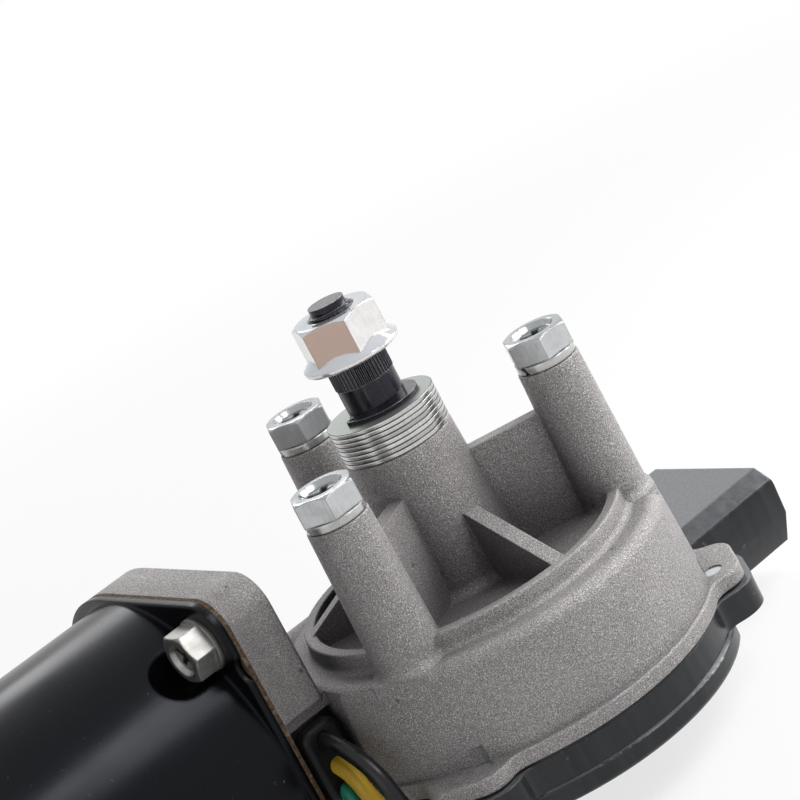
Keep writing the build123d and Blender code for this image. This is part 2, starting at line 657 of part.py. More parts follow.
def armature_shaft():
    """Shaft with the rolled worm, its three journals and the rear end."""
    end = WORM_TURNS * LEAD / 2 + WORM_RELIEF
    front_r = FRONT_JOURNAL_D / 2
    rear_r = ARMATURE_SHAFT_D / 2
    tip_r = TIP_JOURNAL_D / 2
    front_end = RECESS_FLOOR - 2
    front = turned((0, -end), (front_r, -end, 1.0), (front_r, front_end), (rear_r, front_end),
                   (rear_r, REAR_BUSH_SPAN[0], 0.5), (0, REAR_BUSH_SPAN[0]))
    tip = turned((0, end), (tip_r, end), (tip_r, TIP_END, 0.8), (0, TIP_END))
    return one_solid(MOTOR * (worm() + front + tip))


def armature_core():
    """Stack of laminations with open slots for the winding."""
    span = CORE_SPAN[1] - CORE_SPAN[0]
    section = Circle(CORE_R) - Circle(ARMATURE_SHAFT_D / 2)
    for index in range(CORE_SLOTS):
        turn = Rot(0, 0, 360 * index / CORE_SLOTS)
        section -= turn * Pos(SLOT_CIRCLE_R, 0) * Circle(SLOT_R)
        section -= turn * Pos((SLOT_CIRCLE_R + CORE_R + 1) / 2, 0) * Rectangle(
            CORE_R + 1 - SLOT_CIRCLE_R, SLOT_MOUTH)
    return one_solid(MOTOR * Pos(0, 0, CORE_SPAN[0]) * extrude(section, span))


def armature_windings():
    """Coils: a bundle in each slot, joined by the end turns on both faces of the core."""
    wire_r = SLOT_R - WIRE_GAP
    outer = CORE_R - WINDING_INSET
    body = None
    for face, side in ((CORE_SPAN[0], -1), (CORE_SPAN[1], 1)):
        end = face + side * WINDING_LENGTH
        turns = turned((WINDING_INNER_R, face), (outer, face), (outer, end, 2.6), (WINDING_INNER_R, end, 2.0))
        body = turns if body is None else body + turns
    for index in range(CORE_SLOTS):
        bundle = disc(wire_r, CORE_SPAN[0], CORE_SPAN[1])
        body += polar(SLOT_CIRCLE_R, 360 * index / CORE_SLOTS) * bundle
    return one_solid(MOTOR * body)


def commutator():
    """Copper bars round an insulating core, parted by slots."""
    body = disc(COMMUTATOR_R, *COMMUTATOR_SPAN, bore=ARMATURE_SHAFT_D / 2)
    for index in range(COMMUTATOR_BARS):
        slot = block((COMMUTATOR_R - BAR_SLOT_DEPTH, COMMUTATOR_R + 1), (-BAR_SLOT_W / 2, BAR_SLOT_W / 2),
                     (COMMUTATOR_SPAN[0] - 1, COMMUTATOR_SPAN[1] + 1))
        body -= Rot(0, 0, 360 * (index + 0.5) / COMMUTATOR_BARS) * slot
    return one_solid(MOTOR * body)


# --- motor can and what is fixed in it --------------------------------------------------------------
def can_barrel_outline(skin):
    """Outline points of the barrel and the bearing cup, moved in from the outside by a skin."""
    rear = CAN_REAR - CAN_T + skin
    cup_rear = rear - CUP_DEPTH
    barrel_r = CAN_R - skin
    cup_r = CUP_R - skin
    return ((barrel_r, rear, CAN_REAR_EDGE_R - skin), (cup_r, rear, CUP_ROOT_R), (cup_r, cup_rear, CUP_EDGE_R),
            (0, cup_rear))


def screw_pockets(skin):
    """Round pockets that clear the screw heads, grown by a skin for the inside of the sheet."""
    radius = POCKET_R + skin
    end = CAN_FACE - CAN_T - POCKET_L
    capsule = disc(radius, end, CAN_FACE + 1) + Pos(0, 0, end) * Sphere(radius)
    return [Pos(*place) * capsule for place in can_screw_places()]


def can_screw_places():
    """The two can screws, in the motor's own frame."""
    return [(sign * CAN_SCREW_OFFSET, -sign * CAN_SCREW_OFFSET) for sign in (-1, 1)]


def can_screw_holes(radius, low, high):
    """Round tools at the two can screws."""
    return [Pos(*place) * disc(radius, low, high) for place in can_screw_places()]


def motor_can():
    """Deep-drawn can: flange with two screw ears, barrel with two pockets, rear wall and bearing cup."""
    plate_back = CAN_FACE - CAN_T
    outer = turned((0, CAN_FACE), (CAN_R, CAN_FACE), *can_barrel_outline(0)) - screw_pockets(0)
    inner = turned((0, CAN_FACE + 1), (CAN_BORE_R, CAN_FACE + 1), *can_barrel_outline(CAN_T))
    inner -= screw_pockets(CAN_T)
    plate = Pos(0, 0, plate_back) * extrude(can_rim_outline(), CAN_T)
    body = outer + plate - inner
    body -= can_screw_holes(CAN_SCREW_D / 2 + SCREW_CLEARANCE, plate_back - 1, CAN_FACE + 1)
    return one_solid(MOTOR * body)


def can_rim_outline():
    """Outline of the can's flange: the housing's, less a notch in each upright side."""
    face = motor_flange_outline()
    reach = MOTOR_FLANGE_HALF + RIM_NOTCH_R - RIM_NOTCH_DEPTH
    for side in (-1, 1):
        face -= Pos(side * reach, -side * RIM_NOTCH_OFFSET) * Circle(RIM_NOTCH_R)
    return face


def can_gasket():
    plate = Pos(0, 0, CAN_FACE) * extrude(motor_flange_outline(), GASKET_T)
    plate -= disc(CAN_BORE_R, CAN_FACE - 1, GASKET_FACE + 1)
    plate -= can_screw_holes(CAN_SCREW_D / 2 + SCREW_CLEARANCE, CAN_FACE - 1, GASKET_FACE + 1)
    return one_solid(MOTOR * plate)


def field_magnets():
    """Two ferrite arcs bonded to the inside of the can."""
    ring = disc(CAN_BORE_R, *MAGNET_SPAN, bore=MAGNET_INNER_R)
    reach = 2 * CAN_BORE_R
    half = radians(MAGNET_ARC / 2)
    wedge = make_face(Polyline((0, 0), (reach * cos(half), -reach * sin(half)), (reach, -reach),
                               (reach, reach), (reach * cos(half), reach * sin(half)), close=True))
    wedge = Pos(0, 0, MAGNET_SPAN[0]) * extrude(wedge, MAGNET_SPAN[1] - MAGNET_SPAN[0])
    magnet = one_solid(ring & wedge)
    return Compound(children=[one_solid(MOTOR * Rot(0, 0, turn) * magnet) for turn in (0, 180)])


def bush(radius, bore, span):
    """Sintered bush with chamfered ends."""
    body = disc(radius, *span, bore=bore)
    return one_solid(chamfer(body.edges().filter_by(GeomType.CIRCLE).sort_by(SortBy.RADIUS)[-2:], 0.4))


def upper_bush():
    return bush(TOWER_BORE / 2, SHAFT_D / 2 + RUNNING_GAP, UPPER_BUSH_SPAN)


def lower_bush():
    return bush(TOWER_BORE / 2, SHAFT_D / 2 + RUNNING_GAP, LOWER_BUSH_SPAN)


def front_bush():
    return one_solid(MOTOR * bush(FRONT_BUSH_R, FRONT_JOURNAL_D / 2 + RUNNING_GAP, FRONT_BUSH_SPAN))


def tip_bush():
    return one_solid(MOTOR * bush(TIP_BUSH_R, TIP_JOURNAL_D / 2 + RUNNING_GAP, TIP_BUSH_SPAN))


def rear_bush():
    return one_solid(MOTOR * bush(CUP_R - CAN_T, ARMATURE_SHAFT_D / 2 + RUNNING_GAP, REAR_BUSH_SPAN))


def tip_thrust_pad():
    """Pad that takes the worm's end thrust at the tip of the armature shaft."""
    start = TIP_END + END_GAP
    return one_solid(MOTOR * disc(TIP_BUSH_R, start, start + THRUST_PAD_T))


def rear_thrust_pad():
    """Pad in the can's bearing cup behind the rear end of the armature shaft."""
    radius = CUP_R - CAN_T - CUP_EDGE_R
    return one_solid(MOTOR * disc(radius, CAN_REAR - CUP_DEPTH, REAR_BUSH_SPAN[0] - END_GAP))


def shaft_seal():
    """Rubber ring round the shaft at the mouth of the tower."""
    return disc(TOWER_BORE / 2, *SEAL_SPAN, bore=SHAFT_D / 2 + RUNNING_GAP)


def wheel_thrust_washer():
    return disc(THRUST_WASHER_R, THRUST_WASHER_BOTTOM, CHAMBER_TOP, SHAFT_D / 2 + RUNNING_GAP)


def shaft_washer(index):
    """One of the thin washers stacked on the tower."""
    low = index * WASHER_T
    body = disc(TOWER_TOP_D / 2, low, low + WASHER_T, WASHER_BORE / 2)
    rims = body.edges().filter_by(GeomType.CIRCLE).sort_by(SortBy.RADIUS)[-2:]
    return one_solid(chamfer(rims, WASHER_EDGE))


# --- brush gear -------------------------------------------------------------------------------------
def brush_plate_face():
    """Front face of the brush plate, which stands on the floor of the flange's recess."""
    return RECESS_FLOOR - BRUSH_PLATE_T


def brush_middle():
    return brush_plate_face() - BRUSH_BOX_WALL - BRUSH_L / 2


def brush_window(play):
    """Space of a brush along local X, between the commutator and the end of its box."""
    half_w = BRUSH_W / 2 + play
    half_l = BRUSH_L / 2 + play
    middle = brush_middle()
    return block((COMMUTATOR_R - 2, BRUSH_BOX_END_R - BRUSH_BOX_END_T), (-half_w, half_w),
                 (middle - half_l, middle + half_l))


def brush_holder():
    """Moulded plate with a box for each brush."""
    face = brush_plate_face()
    body = disc(RECESS_R - 0.1, face, RECESS_FLOOR, BRUSH_PLATE_BORE_R)
    box_low = brush_middle() - BRUSH_L / 2 - BRUSH_BOX_WALL
    half_w = BRUSH_W / 2 + BRUSH_BOX_WALL
    windows = []
    for angle in BRUSH_ANGLES.values():
        box = block((BRUSH_PLATE_BORE_R + 0.5, BRUSH_BOX_END_R), (-half_w, half_w), (box_low, face))
        body += Rot(0, 0, angle) * box
        windows.append(Rot(0, 0, angle) * brush_window(0.05))
    for window in windows:
        body -= window
    return one_solid(MOTOR * body)


def brush(angle):
    """Carbon block with its face hollowed to the commutator."""
    half_l = BRUSH_L / 2
    middle = brush_middle()
    body = block((COMMUTATOR_R - 2, BRUSH_OUTER_R), (-BRUSH_W / 2, BRUSH_W / 2),
                 (middle - half_l, middle + half_l))
    body -= disc(COMMUTATOR_R + END_GAP, middle - BRUSH_L, middle + BRUSH_L)
    return one_solid(MOTOR * Rot(0, 0, angle) * body)


def brush_springs():
    """Coil springs behind the brushes, each as a sleeve between brush and box end."""
    sleeve = disc(BRUSH_SPRING_R, BRUSH_OUTER_R, BRUSH_OUTER_R + BRUSH_SPRING_L, BRUSH_SPRING_BORE_R)
    springs = []
    for angle in BRUSH_ANGLES.values():
        place = Rot(0, 0, angle) * Pos(0, 0, brush_middle()) * Rot(0, 90, 0)
        springs.append(one_solid(MOTOR * place * sleeve))
    return Compound(children=springs)


# --- leads and their outlet -------------------------------------------------------------------------
def lead_radii(points):
    """Largest bend radius at each inner point of a route."""
    radii = []
    for before, here, after in zip(points, points[1:], points[2:]):
        run_in = Vector(here) - Vector(before)
        run_out = Vector(after) - Vector(here)
        shorter = min(run_in.length, run_out.length)
        turn = radians(run_in.get_angle(run_out))
        radii.append(0.45 * shorter / tan(turn / 2))
    return radii


def lead(route):
    """Insulated wire along a route of straight runs joined by arcs."""
    path = FilletPolyline(*route, radius=lead_radii(route))
    section = Plane(origin=path @ 0, z_dir=path % 0) * Circle(LEAD_D / 2)
    return one_solid(sweep(section, path))


def lead_grommet():
    """Rubber block that fills the notch, with a rounded lip outside and a hole for each lead."""
    side = MOTOR_Y - MOTOR_FLANGE_HALF
    body = block((GASKET_FACE, MOTOR_FLANGE_BACK), (side + NOTCH_SHALLOW, side + NOTCH_DEPTH),
                 (NOTCH_BOTTOM, NOTCH_STEP))
    lip = block((GASKET_FACE + GROMMET_MARGIN, MOTOR_FLANGE_BACK - GROMMET_MARGIN),
                (side - GROMMET_LIP, side + NOTCH_SHALLOW + 1),
                (NOTCH_BOTTOM + GROMMET_MARGIN, NOTCH_STEP - GROMMET_MARGIN))
    lip = fillet(lip.edges().filter_by(Axis.Y), GROMMET_CORNER_R)
    body += fillet(lip.edges().group_by(Axis.Y)[0], 1.0)
    for route in LEAD_ROUTES.values():
        body -= lead(route)
    return one_solid(body)


# --- gear cover ---------------------------------------------------------------------------------------
def connector_section():
    """Outline of the connector across X, as (y, z), with the bevel along its upper -Y edge."""
    low_y, high_y = CONNECTOR_Y
    return outline((high_y, CONNECTOR_TOP, CONNECTOR_CORNER_R),
                   (low_y + CONNECTOR_BEVEL, CONNECTOR_TOP, CONNECTOR_BEVEL_R / 2),
                   (low_y, CONNECTOR_TOP - CONNECTOR_BEVEL * 0.8, CONNECTOR_BEVEL_R),
                   (low_y + CONNECTOR_BREAK_W, CONNECTOR_BOTTOM + CONNECTOR_BREAK_H),
                   (low_y + CONNECTOR_TUCK, CONNECTOR_BOTTOM, CONNECTOR_BEVEL_R / 2),
                   (high_y, CONNECTOR_BOTTOM, CONNECTOR_CORNER_R))


def connector_shell():
    """Connector housing; under the housing's flange only its lower part runs on to the cover."""
    clear = FLANGE_R + CONNECTOR_CLEARANCE
    across = Plane(origin=(CHAMBER_R - 2, 0, 0), x_dir=(0, 1, 0), z_dir=(1, 0, 0))
    body = across * extrude(connector_section(), CONNECTOR_END - CHAMBER_R + 2)
    return body - eared_plate(clear, CONNECTOR_CLEARANCE, COVER_TOP, CONNECTOR_TOP + 1)


def socket():
    """Hollow of the connector, open towards +X."""
    wall = CONNECTOR_WALL
    return block((CONNECTOR_END - SOCKET_DEPTH, CONNECTOR_END + 1),
                 (CONNECTOR_Y[0] + CONNECTOR_BEVEL, CONNECTOR_Y[1] - wall),
                 (CONNECTOR_BOTTOM + wall, CONNECTOR_TOP - wall))


def cover_cup():
    """Round cover with a band, a groove and a lip outside, and a boss under each ear."""
    groove_r = COVER_BAND_R - COVER_GROOVE_DEPTH
    cup = turned((0, COVER_TOP), (COVER_BAND_R, COVER_TOP), (COVER_BAND_R, COVER_BAND_BOTTOM, 0.3),
                 (groove_r, COVER_BAND_BOTTOM, 0.3), (groove_r, COVER_LIP_TOP, 0.8),
                 (COVER_LIP_R, COVER_LIP_TOP, 0.5), (COVER_LIP_R, COVER_BOTTOM, 1.2), (0, COVER_BOTTOM))
    return cup + eared_plate(COVER_BAND_R, BOSS_MARGIN, COVER_LIP_TOP, COVER_TOP)


def motor_flange_relief():
    """Flat cut that keeps the cover and its seal clear of the motor flange."""
    return block((-COVER_LIP_R - 1, MOTOR_FLANGE_BACK + COVER_GAP),
                 (MOTOR_Y - MOTOR_FLANGE_HALF - COVER_GAP, MOTOR_Y), (COVER_BOTTOM - 1, FLANGE_BOTTOM + 1))


def contact_carrier():
    """Block inside the cover that holds the roots of the park contacts."""
    half = CONTACT_PITCH + CARRIER_MARGIN
    return block(CARRIER_X, (-half, half), (COVER_FLOOR - 1, CARRIER_TOP))


def gear_cover():
    body = cover_cup() + connector_shell()
    body -= disc(CHAMBER_R, COVER_FLOOR, COVER_TOP + 1)
    body -= motor_flange_relief()
    body -= socket()
    body += contact_carrier()
    body -= ear_places(EAR_SCREW_D / 2 + SCREW_CLEARANCE, COVER_BOTTOM - 1, COVER_TOP + 1)
    body -= ear_places(COVER_SCREW_POCKET_R, COVER_BOTTOM - 1, COVER_SCREW_SEAT)
    for root in terminal_places():
        body -= terminal(root)
    for route in LEAD_ROUTES.values():
        body -= lead(route)
    return one_solid(body)


def cover_seal():
    """Flat seal between the housing's flange and the cover."""
    body = eared_plate(COVER_BAND_R, -COVER_INSET, COVER_TOP, FLANGE_BOTTOM)
    body -= disc(CHAMBER_R, COVER_TOP - 1, FLANGE_BOTTOM + 1)
    body -= ear_places(EAR_SCREW_D / 2 + SCREW_CLEARANCE, COVER_TOP - 1, FLANGE_BOTTOM + 1)
    return one_solid(body - motor_flange_relief())


def terminal_places():
    """Y of each blade in the socket."""
    first = CONNECTOR_MID_Y - TERMINAL_PITCH * (TERMINAL_COUNT - 1) / 2
    return [first + TERMINAL_PITCH * index for index in range(TERMINAL_COUNT)]


def terminal(y):
    """Flat blade that stands in the back wall of the socket."""
    back = CONNECTOR_END - SOCKET_DEPTH
    return block((back - TERMINAL_ROOT_L, back + TERMINAL_OUT), (y - TERMINAL_W / 2, y + TERMINAL_W / 2),
                 (CONNECTOR_MID_Z - TERMINAL_T / 2, CONNECTOR_MID_Z + TERMINAL_T / 2))


def connector_terminals():
    return Compound(children=[one_solid(terminal(y)) for y in terminal_places()])


def park_contacts():
    """Spring fingers that rise from the carrier to just under the contact disc."""
    touch = DISC_BOTTOM - END_GAP
    start = CARRIER_X[0] + CONTACT_INSET
    end = CARRIER_X[1] - CONTACT_INSET
    fingers = []
    for index, radius in enumerate(CONTACT_RADII):
        y = (index - 1) * CONTACT_PITCH
        reach = -sqrt(radius ** 2 - y ** 2)
        profile = Polyline((start, CARRIER_TOP), (end, CARRIER_TOP), (reach + CONTACT_TIP, touch - CONTACT_T),
                           (reach, touch), (reach - CONTACT_TIP, touch - CONTACT_T),
                           (end - CONTACT_T / 2, CARRIER_TOP + CONTACT_T), (start, CARRIER_TOP + CONTACT_T),
                           close=True)
        strip = Plane.XZ * make_face(profile)
        fingers.append(one_solid(Pos(0, y, 0) * extrude(strip, CONTACT_W / 2, both=True)))
    return Compound(children=fingers)


# --- bolts, screws and spring washers -----------------------------------------------------------------
def dished_bolt(across_flats, head_h, shank_d, length, collar_d=0.0, collar_t=0.0):
    """Hexagon bolt with a dished top and a cross recess; its head stands on Z = 0."""
    body = hexagon_head(across_flats, collar_t, head_h)
    if collar_t:
        body += disc(collar_d / 2, 0, collar_t)
    dish_r = across_flats * BOLT_DISH_SHARE
    body -= turned((0, head_h - BOLT_DISH_DEPTH), (dish_r * 0.8, head_h - BOLT_DISH_DEPTH),
                   (dish_r, head_h + 0.1), (0, head_h + 0.1))
    cross = cross_recess(across_flats * BOLT_CROSS_SHARE, BOLT_CROSS_DEPTH, head_h - BOLT_DISH_DEPTH)
    body -= Rot(0, 0, 45) * cross
    return body + disc(shank_d / 2, -length, 0.5)


def mounting_bolts():
    """The three bolts that hold the motor on its bracket, run in on their spring washers."""
    bolts = []
    for angle in POST_ANGLES:
        bolt = dished_bolt(BOLT_AF, BOLT_HEAD_H, BOLT_D, BOLT_LENGTH)
        place = polar(POST_CIRCLE_R, angle, SPRING_WASHER_T)
        bolts.append(one_solid(place * bolt))
    return Compound(children=bolts)


def spring_washers():
    """Split washers under the bolt heads."""
    washers = []
    ring = disc(SPRING_WASHER_D / 2, 0, SPRING_WASHER_T, SPRING_WASHER_BORE / 2)
    cut = block((0, SPRING_WASHER_D), (-SPRING_WASHER_GAP / 2, SPRING_WASHER_GAP / 2), (-3, 3))
    ring -= Rot(SPRING_WASHER_SLANT, 0, 0) * cut
    for index, angle in enumerate(POST_ANGLES):
        turn = Rot(0, 0, angle + 80 + 70 * index)
        washers.append(one_solid(polar(POST_CIRCLE_R, angle) * turn * ring))
    return Compound(children=washers)


def can_screws():
    """Screws through the ears of the can into the housing."""
    screws = []
    for y, z in can_screw_places():
        screw = dished_bolt(CAN_SCREW_AF, CAN_SCREW_HEAD_H, CAN_SCREW_D, CAN_SCREW_LENGTH,
                            CAN_SCREW_COLLAR_D, CAN_SCREW_COLLAR_T)
        place = Pos(y, z, CAN_FACE - CAN_T)
        screws.append(one_solid(MOTOR * place * Rot(180, 0, 0) * screw))
    return Compound(children=screws)


def cover_screws():
    """Screws that hold the cover, with their ends flush in the ears."""
    screws = []
    length = FLANGE_TOP - COVER_SCREW_SEAT - 0.2
    for angle in EARS:
        screw = hexagon_head(COVER_SCREW_AF, 0, COVER_SCREW_HEAD_H) + disc(EAR_SCREW_D / 2, -length, 0.5)
        place = polar(FLANGE_R, angle, COVER_SCREW_SEAT)
        screws.append(one_solid(place * Rot(180, 0, 0) * screw))
    return Compound(children=screws)


# --- all pieces -----------------------------------------------------------------------------------------
def pieces():
    """Every piece by its name."""
    made = {maker.__name__: maker() for maker in (
        gear_housing, upper_bush, lower_bush, shaft_seal, wheel_thrust_washer, mounting_bolts,
        spring_washers, output_shaft, flange_nut, snap_ring, worm_wheel, contact_disc,
        armature_shaft, armature_core, armature_windings, commutator, motor_can, can_gasket,
        can_screws, field_magnets, front_bush, tip_bush, rear_bush, tip_thrust_pad, rear_thrust_pad,
        brush_holder, brush_springs, lead_grommet, gear_cover, cover_seal, cover_screws,
        connector_terminals, park_contacts)}
    for index in range(WASHER_COUNT):
        made[f"shaft_washer_{index + 1}"] = shaft_washer(index)
    for name, angle in BRUSH_ANGLES.items():
        made[name] = brush(angle)
    for name, route in LEAD_ROUTES.items():
        made[name] = lead(route)
        print(name, "bend radii", [round(radius, 1) for radius in lead_radii(route)])
    return made


if __name__ == "__main__":
    os.makedirs("parts", exist_ok=True)
    for node, solid in pieces().items():
        export_step(solid, f"parts/{node}.step")
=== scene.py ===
"""Finishes a worm-geared wiper motor: cast housing, enamelled can, fasteners, leads and cover."""
import math

import bmesh
import bpy
from mathutils import Matrix, Vector


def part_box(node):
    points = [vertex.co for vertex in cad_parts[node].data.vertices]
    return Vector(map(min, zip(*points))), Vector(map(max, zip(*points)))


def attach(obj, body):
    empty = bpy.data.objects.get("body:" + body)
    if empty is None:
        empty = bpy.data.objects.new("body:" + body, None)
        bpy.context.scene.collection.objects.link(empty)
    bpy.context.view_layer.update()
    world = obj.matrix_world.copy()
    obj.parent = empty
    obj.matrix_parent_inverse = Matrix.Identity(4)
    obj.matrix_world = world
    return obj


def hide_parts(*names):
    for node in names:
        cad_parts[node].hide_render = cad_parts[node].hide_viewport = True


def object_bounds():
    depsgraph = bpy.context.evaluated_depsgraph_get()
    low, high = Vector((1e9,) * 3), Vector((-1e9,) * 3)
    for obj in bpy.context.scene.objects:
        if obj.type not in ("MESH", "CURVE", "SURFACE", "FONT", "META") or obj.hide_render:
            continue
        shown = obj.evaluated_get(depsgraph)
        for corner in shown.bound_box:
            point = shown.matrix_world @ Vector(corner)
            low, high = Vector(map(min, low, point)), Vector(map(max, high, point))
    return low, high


bl_info = {
    "name": "Wiper Motor Finish",
    "version": (1, 0, 0),
    "blender": (4, 5, 0),
    "location": "View3D > Sidebar > Wiper Motor",
    "description": "Surface finishes and fine parts of a wiper motor around its fixed solids",
    "category": "Object",
}

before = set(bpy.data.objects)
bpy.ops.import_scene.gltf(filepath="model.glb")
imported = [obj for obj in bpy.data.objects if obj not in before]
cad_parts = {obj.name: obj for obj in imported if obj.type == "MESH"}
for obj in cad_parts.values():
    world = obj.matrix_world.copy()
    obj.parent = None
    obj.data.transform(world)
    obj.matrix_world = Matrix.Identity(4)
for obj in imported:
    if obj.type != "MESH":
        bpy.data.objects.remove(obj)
CAD_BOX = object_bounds()
MM = 0.001
UP = (0.0, 0.0, 1.0)


class Tree:
    """A node tree and short calls that add nodes to it."""

    def __init__(self, tree):
        self.tree = tree

    def add(self, kind, inputs=None, **settings):
        """Adds a node; inputs are values or sockets, by name or by number."""
        node = self.tree.nodes.new(kind)
        for key, value in settings.items():
            setattr(node, key, value)
        for key, value in (inputs or {}).items():
            if isinstance(value, bpy.types.NodeSocket):
                self.tree.links.new(value, node.inputs[key])
            else:
                node.inputs[key].default_value = value
        return node

    def maths(self, operation, first, second=0.0):
        """Two numbers joined by an operation."""
        return self.add("ShaderNodeMath", {0: first, 1: second}, operation=operation).outputs[0]

    def seen(self):
        """1 for the rays that see the backdrop: camera, mirror and glass rays."""
        rays = self.add("ShaderNodeLightPath").outputs
        either = self.maths("MAXIMUM", rays["Is Camera Ray"], rays["Is Glossy Ray"])
        return self.maths("MAXIMUM", either, rays["Is Transmission Ray"])


# --- materials ------------------------------------------------------------------------------------
class Finish(Tree):
    """A material and short calls that add and join its nodes."""

    def __init__(self, name):
        self.material = bpy.data.materials.new(name)
        self.material.use_nodes = True
        super().__init__(self.material.node_tree)
        self.shader = self.tree.nodes["Principled BSDF"]
        self.place = self.add("ShaderNodeTexCoord").outputs["Object"]

    def noise(self, scale, detail=3.0, rough=0.5, stretch=(1.0, 1.0, 1.0)):
        """Noise on the object's own coordinates; scale counts waves per metre."""
        where = self.add("ShaderNodeMapping", {"Vector": self.place, "Scale": stretch})
        node = self.add("ShaderNodeTexNoise", {"Vector": where.outputs[0], "Scale": scale,
                                               "Detail": detail, "Roughness": rough})
        return node.outputs["Fac"]

    def ramp(self, value, low, high, start=0.0, end=1.0):
        """A value moved from one range to another, and held at its ends."""
        node = self.add("ShaderNodeMapRange", {0: value, 1: low, 2: high, 3: start, 4: end})
        return node.outputs[0]

    def blend(self, share, first, second):
        """Two colours mixed by a share."""
        return self.add("ShaderNodeMix", {0: share, 6: first, 7: second},
                        data_type="RGBA").outputs[2]

    def times(self, first, second):
        """One number times another."""
        return self.maths("MULTIPLY", first, second)

    def axis(self, name, vector=None):
        """One axis of a vector, or of the place on the object."""
        vector = self.place if vector is None else vector
        return self.add("ShaderNodeSeparateXYZ", {0: vector}).outputs[name]

    def bump(self, height, depth, strength=1.0, under=None):
        """Bump of a depth in metres, over another normal where one is given."""
        inputs = {"Height": height, "Distance": depth, "Strength": strength}
        if under is not None:
            inputs["Normal"] = under
        return self.add("ShaderNodeBump", inputs).outputs[0]

    def soft_edge(self, radius):
        """Normal that rounds sharp edges by a radius in metres."""
        return self.add("ShaderNodeBevel", {"Radius": radius}, samples=4).outputs[0]

    def agreement(self, first, second):
        """1 where two directions agree, and less as they part."""
        return self.add("ShaderNodeVectorMath", {0: first, 1: second},
                        operation="DOT_PRODUCT").outputs["Value"]

    def edge_mask(self, radius, most=1.0, fall=0.5):
        """Most on sharp edges and 0 on flat ground, from how far the rounded normal turns."""
        normal = self.add("ShaderNodeNewGeometry").outputs["Normal"]
        turn = self.agreement(self.soft_edge(radius), normal)
        return self.times(self.ramp(turn, 1.0, 1.0 - fall), most)

    def facing(self, way, low, high, most=1.0):
        """Most where the surface faces one way, on the object's own axes, and 0 elsewhere."""
        normal = self.add("ShaderNodeTexCoord").outputs["Normal"]
        return self.ramp(self.agreement(normal, way), low, high, 0.0, most)

    def corner_shade(self, reach, low, high, most):
        """Most deep in corners and 0 on open ground, by how much a reach in metres is closed in: a
        mask for painted shade.
        """
        node = self.add("ShaderNodeAmbientOcclusion", {"Distance": reach}, samples=6,
                        only_local=True)
        return self.times(self.ramp(node.outputs["AO"], low, high, 1.0, 0.0), most)

    def set(self, **values):
        """Sets the shader's sockets; a name's underscores stand for spaces."""
        for key, value in values.items():
            socket = self.shader.inputs[key.replace("_", " ")]
            if isinstance(value, bpy.types.NodeSocket):
                self.tree.links.new(value, socket)
            else:
                socket.default_value = value
        return self


def rgb(red, green, blue, share=1.0):
    """Opaque colour, darkened or lightened by a share."""
    return (*[min(part * share, 1.0) for part in (red, green, blue)], 1.0)


WHITE = rgb(1, 1, 1)


def cast_alloy(sizes):
    """Grey sand-textured die casting: specks, clouds, pits, worn edges with a painted highlight,
    and painted shade in its corners and towards its flange end.
    """
    f = Finish("cast_alloy")
    fine = f.noise(sizes.grain_scale, 2.0, 0.7)
    sand = f.noise(sizes.grain_scale * 0.45, 2.0, 0.6)
    clouds = f.noise(55.0, 4.0, 0.6)
    stains = f.noise(24.0, 3.0, 0.6)
    colour = f.blend(f.ramp(clouds, 0.3, 0.7), rgb(*sizes.dark_colour), rgb(*sizes.light_colour))
    colour = f.blend(f.ramp(stains, 0.5, 0.7, 0.0, 0.35), colour, rgb(0.27, 0.235, 0.24))
    colour = f.blend(f.ramp(fine, 0.36, 0.50, 0.62, 0.0), colour, rgb(0.07, 0.063, 0.066))
    colour = f.blend(f.ramp(fine, 0.56, 0.66, 0.0, 0.72), colour, rgb(0.88, 0.87, 0.86))
    # pale edges: partly worn metal, partly a painted highlight along the edges
    colour = f.blend(f.edge_mask(0.4 * MM, 0.5), colour, rgb(0.66, 0.65, 0.63))
    # painted shade: the casting is darkened towards its flange end, by place along X
    flange = f.ramp(f.axis("X"), -37.0 * MM, -40.0 * MM, 0.0, 0.34)
    colour = f.blend(flange, colour, rgb(0.12, 0.11, 0.11))
    pits = f.add("ShaderNodeTexVoronoi", {"Vector": f.place, "Scale": 130.0}).outputs["Distance"]
    colour = f.blend(f.ramp(pits, 0.03, 0.075, 0.75, 0.0), colour, rgb(0.06, 0.055, 0.055))
    # painted shade: darker in corners and recesses
    colour = f.blend(f.corner_shade(24.0 * MM, 0.22, 0.78, 0.85), colour, rgb(0.05, 0.045, 0.05))
    height = f.maths("ADD", f.times(fine, 0.6), sand)
    normal = f.bump(height, sizes.grain_depth * MM, 1.0, f.soft_edge(0.45 * MM))
    return f.set(Base_Color=colour, Metallic=0.22, Roughness=f.ramp(fine, 0.3, 0.7, 0.58, 0.34),
                 Specular_IOR_Level=0.4, Normal=normal).material


def enamel(sizes):
    """Glossy black enamel with a slight orange peel, dust specks and fine scratches."""
    f = Finish("black_enamel")
    dust = f.ramp(f.noise(900.0, 2.0), 0.72, 0.78, 0.0, 0.5)
    colour = f.blend(dust, rgb(*sizes.enamel_colour), rgb(0.10, 0.10, 0.11))
    scratch = f.ramp(f.noise(700.0, 2.0, 0.5, (0.05, 1.0, 1.0)), 0.70, 0.76, 0.0, 0.3)
    colour = f.blend(scratch, colour, rgb(0.06, 0.06, 0.065))
    rough = f.ramp(f.noise(60.0, 4.0), 0.3, 0.7, 0.20, 0.28)
    normal = f.bump(f.noise(260.0, 2.0), 0.012 * MM, 0.5, f.soft_edge(1.0 * MM))
    return f.set(Base_Color=colour, Roughness=rough, Specular_IOR_Level=0.15,
                 Specular_Tint=rgb(0.86, 0.90, 1.0), Normal=normal).material


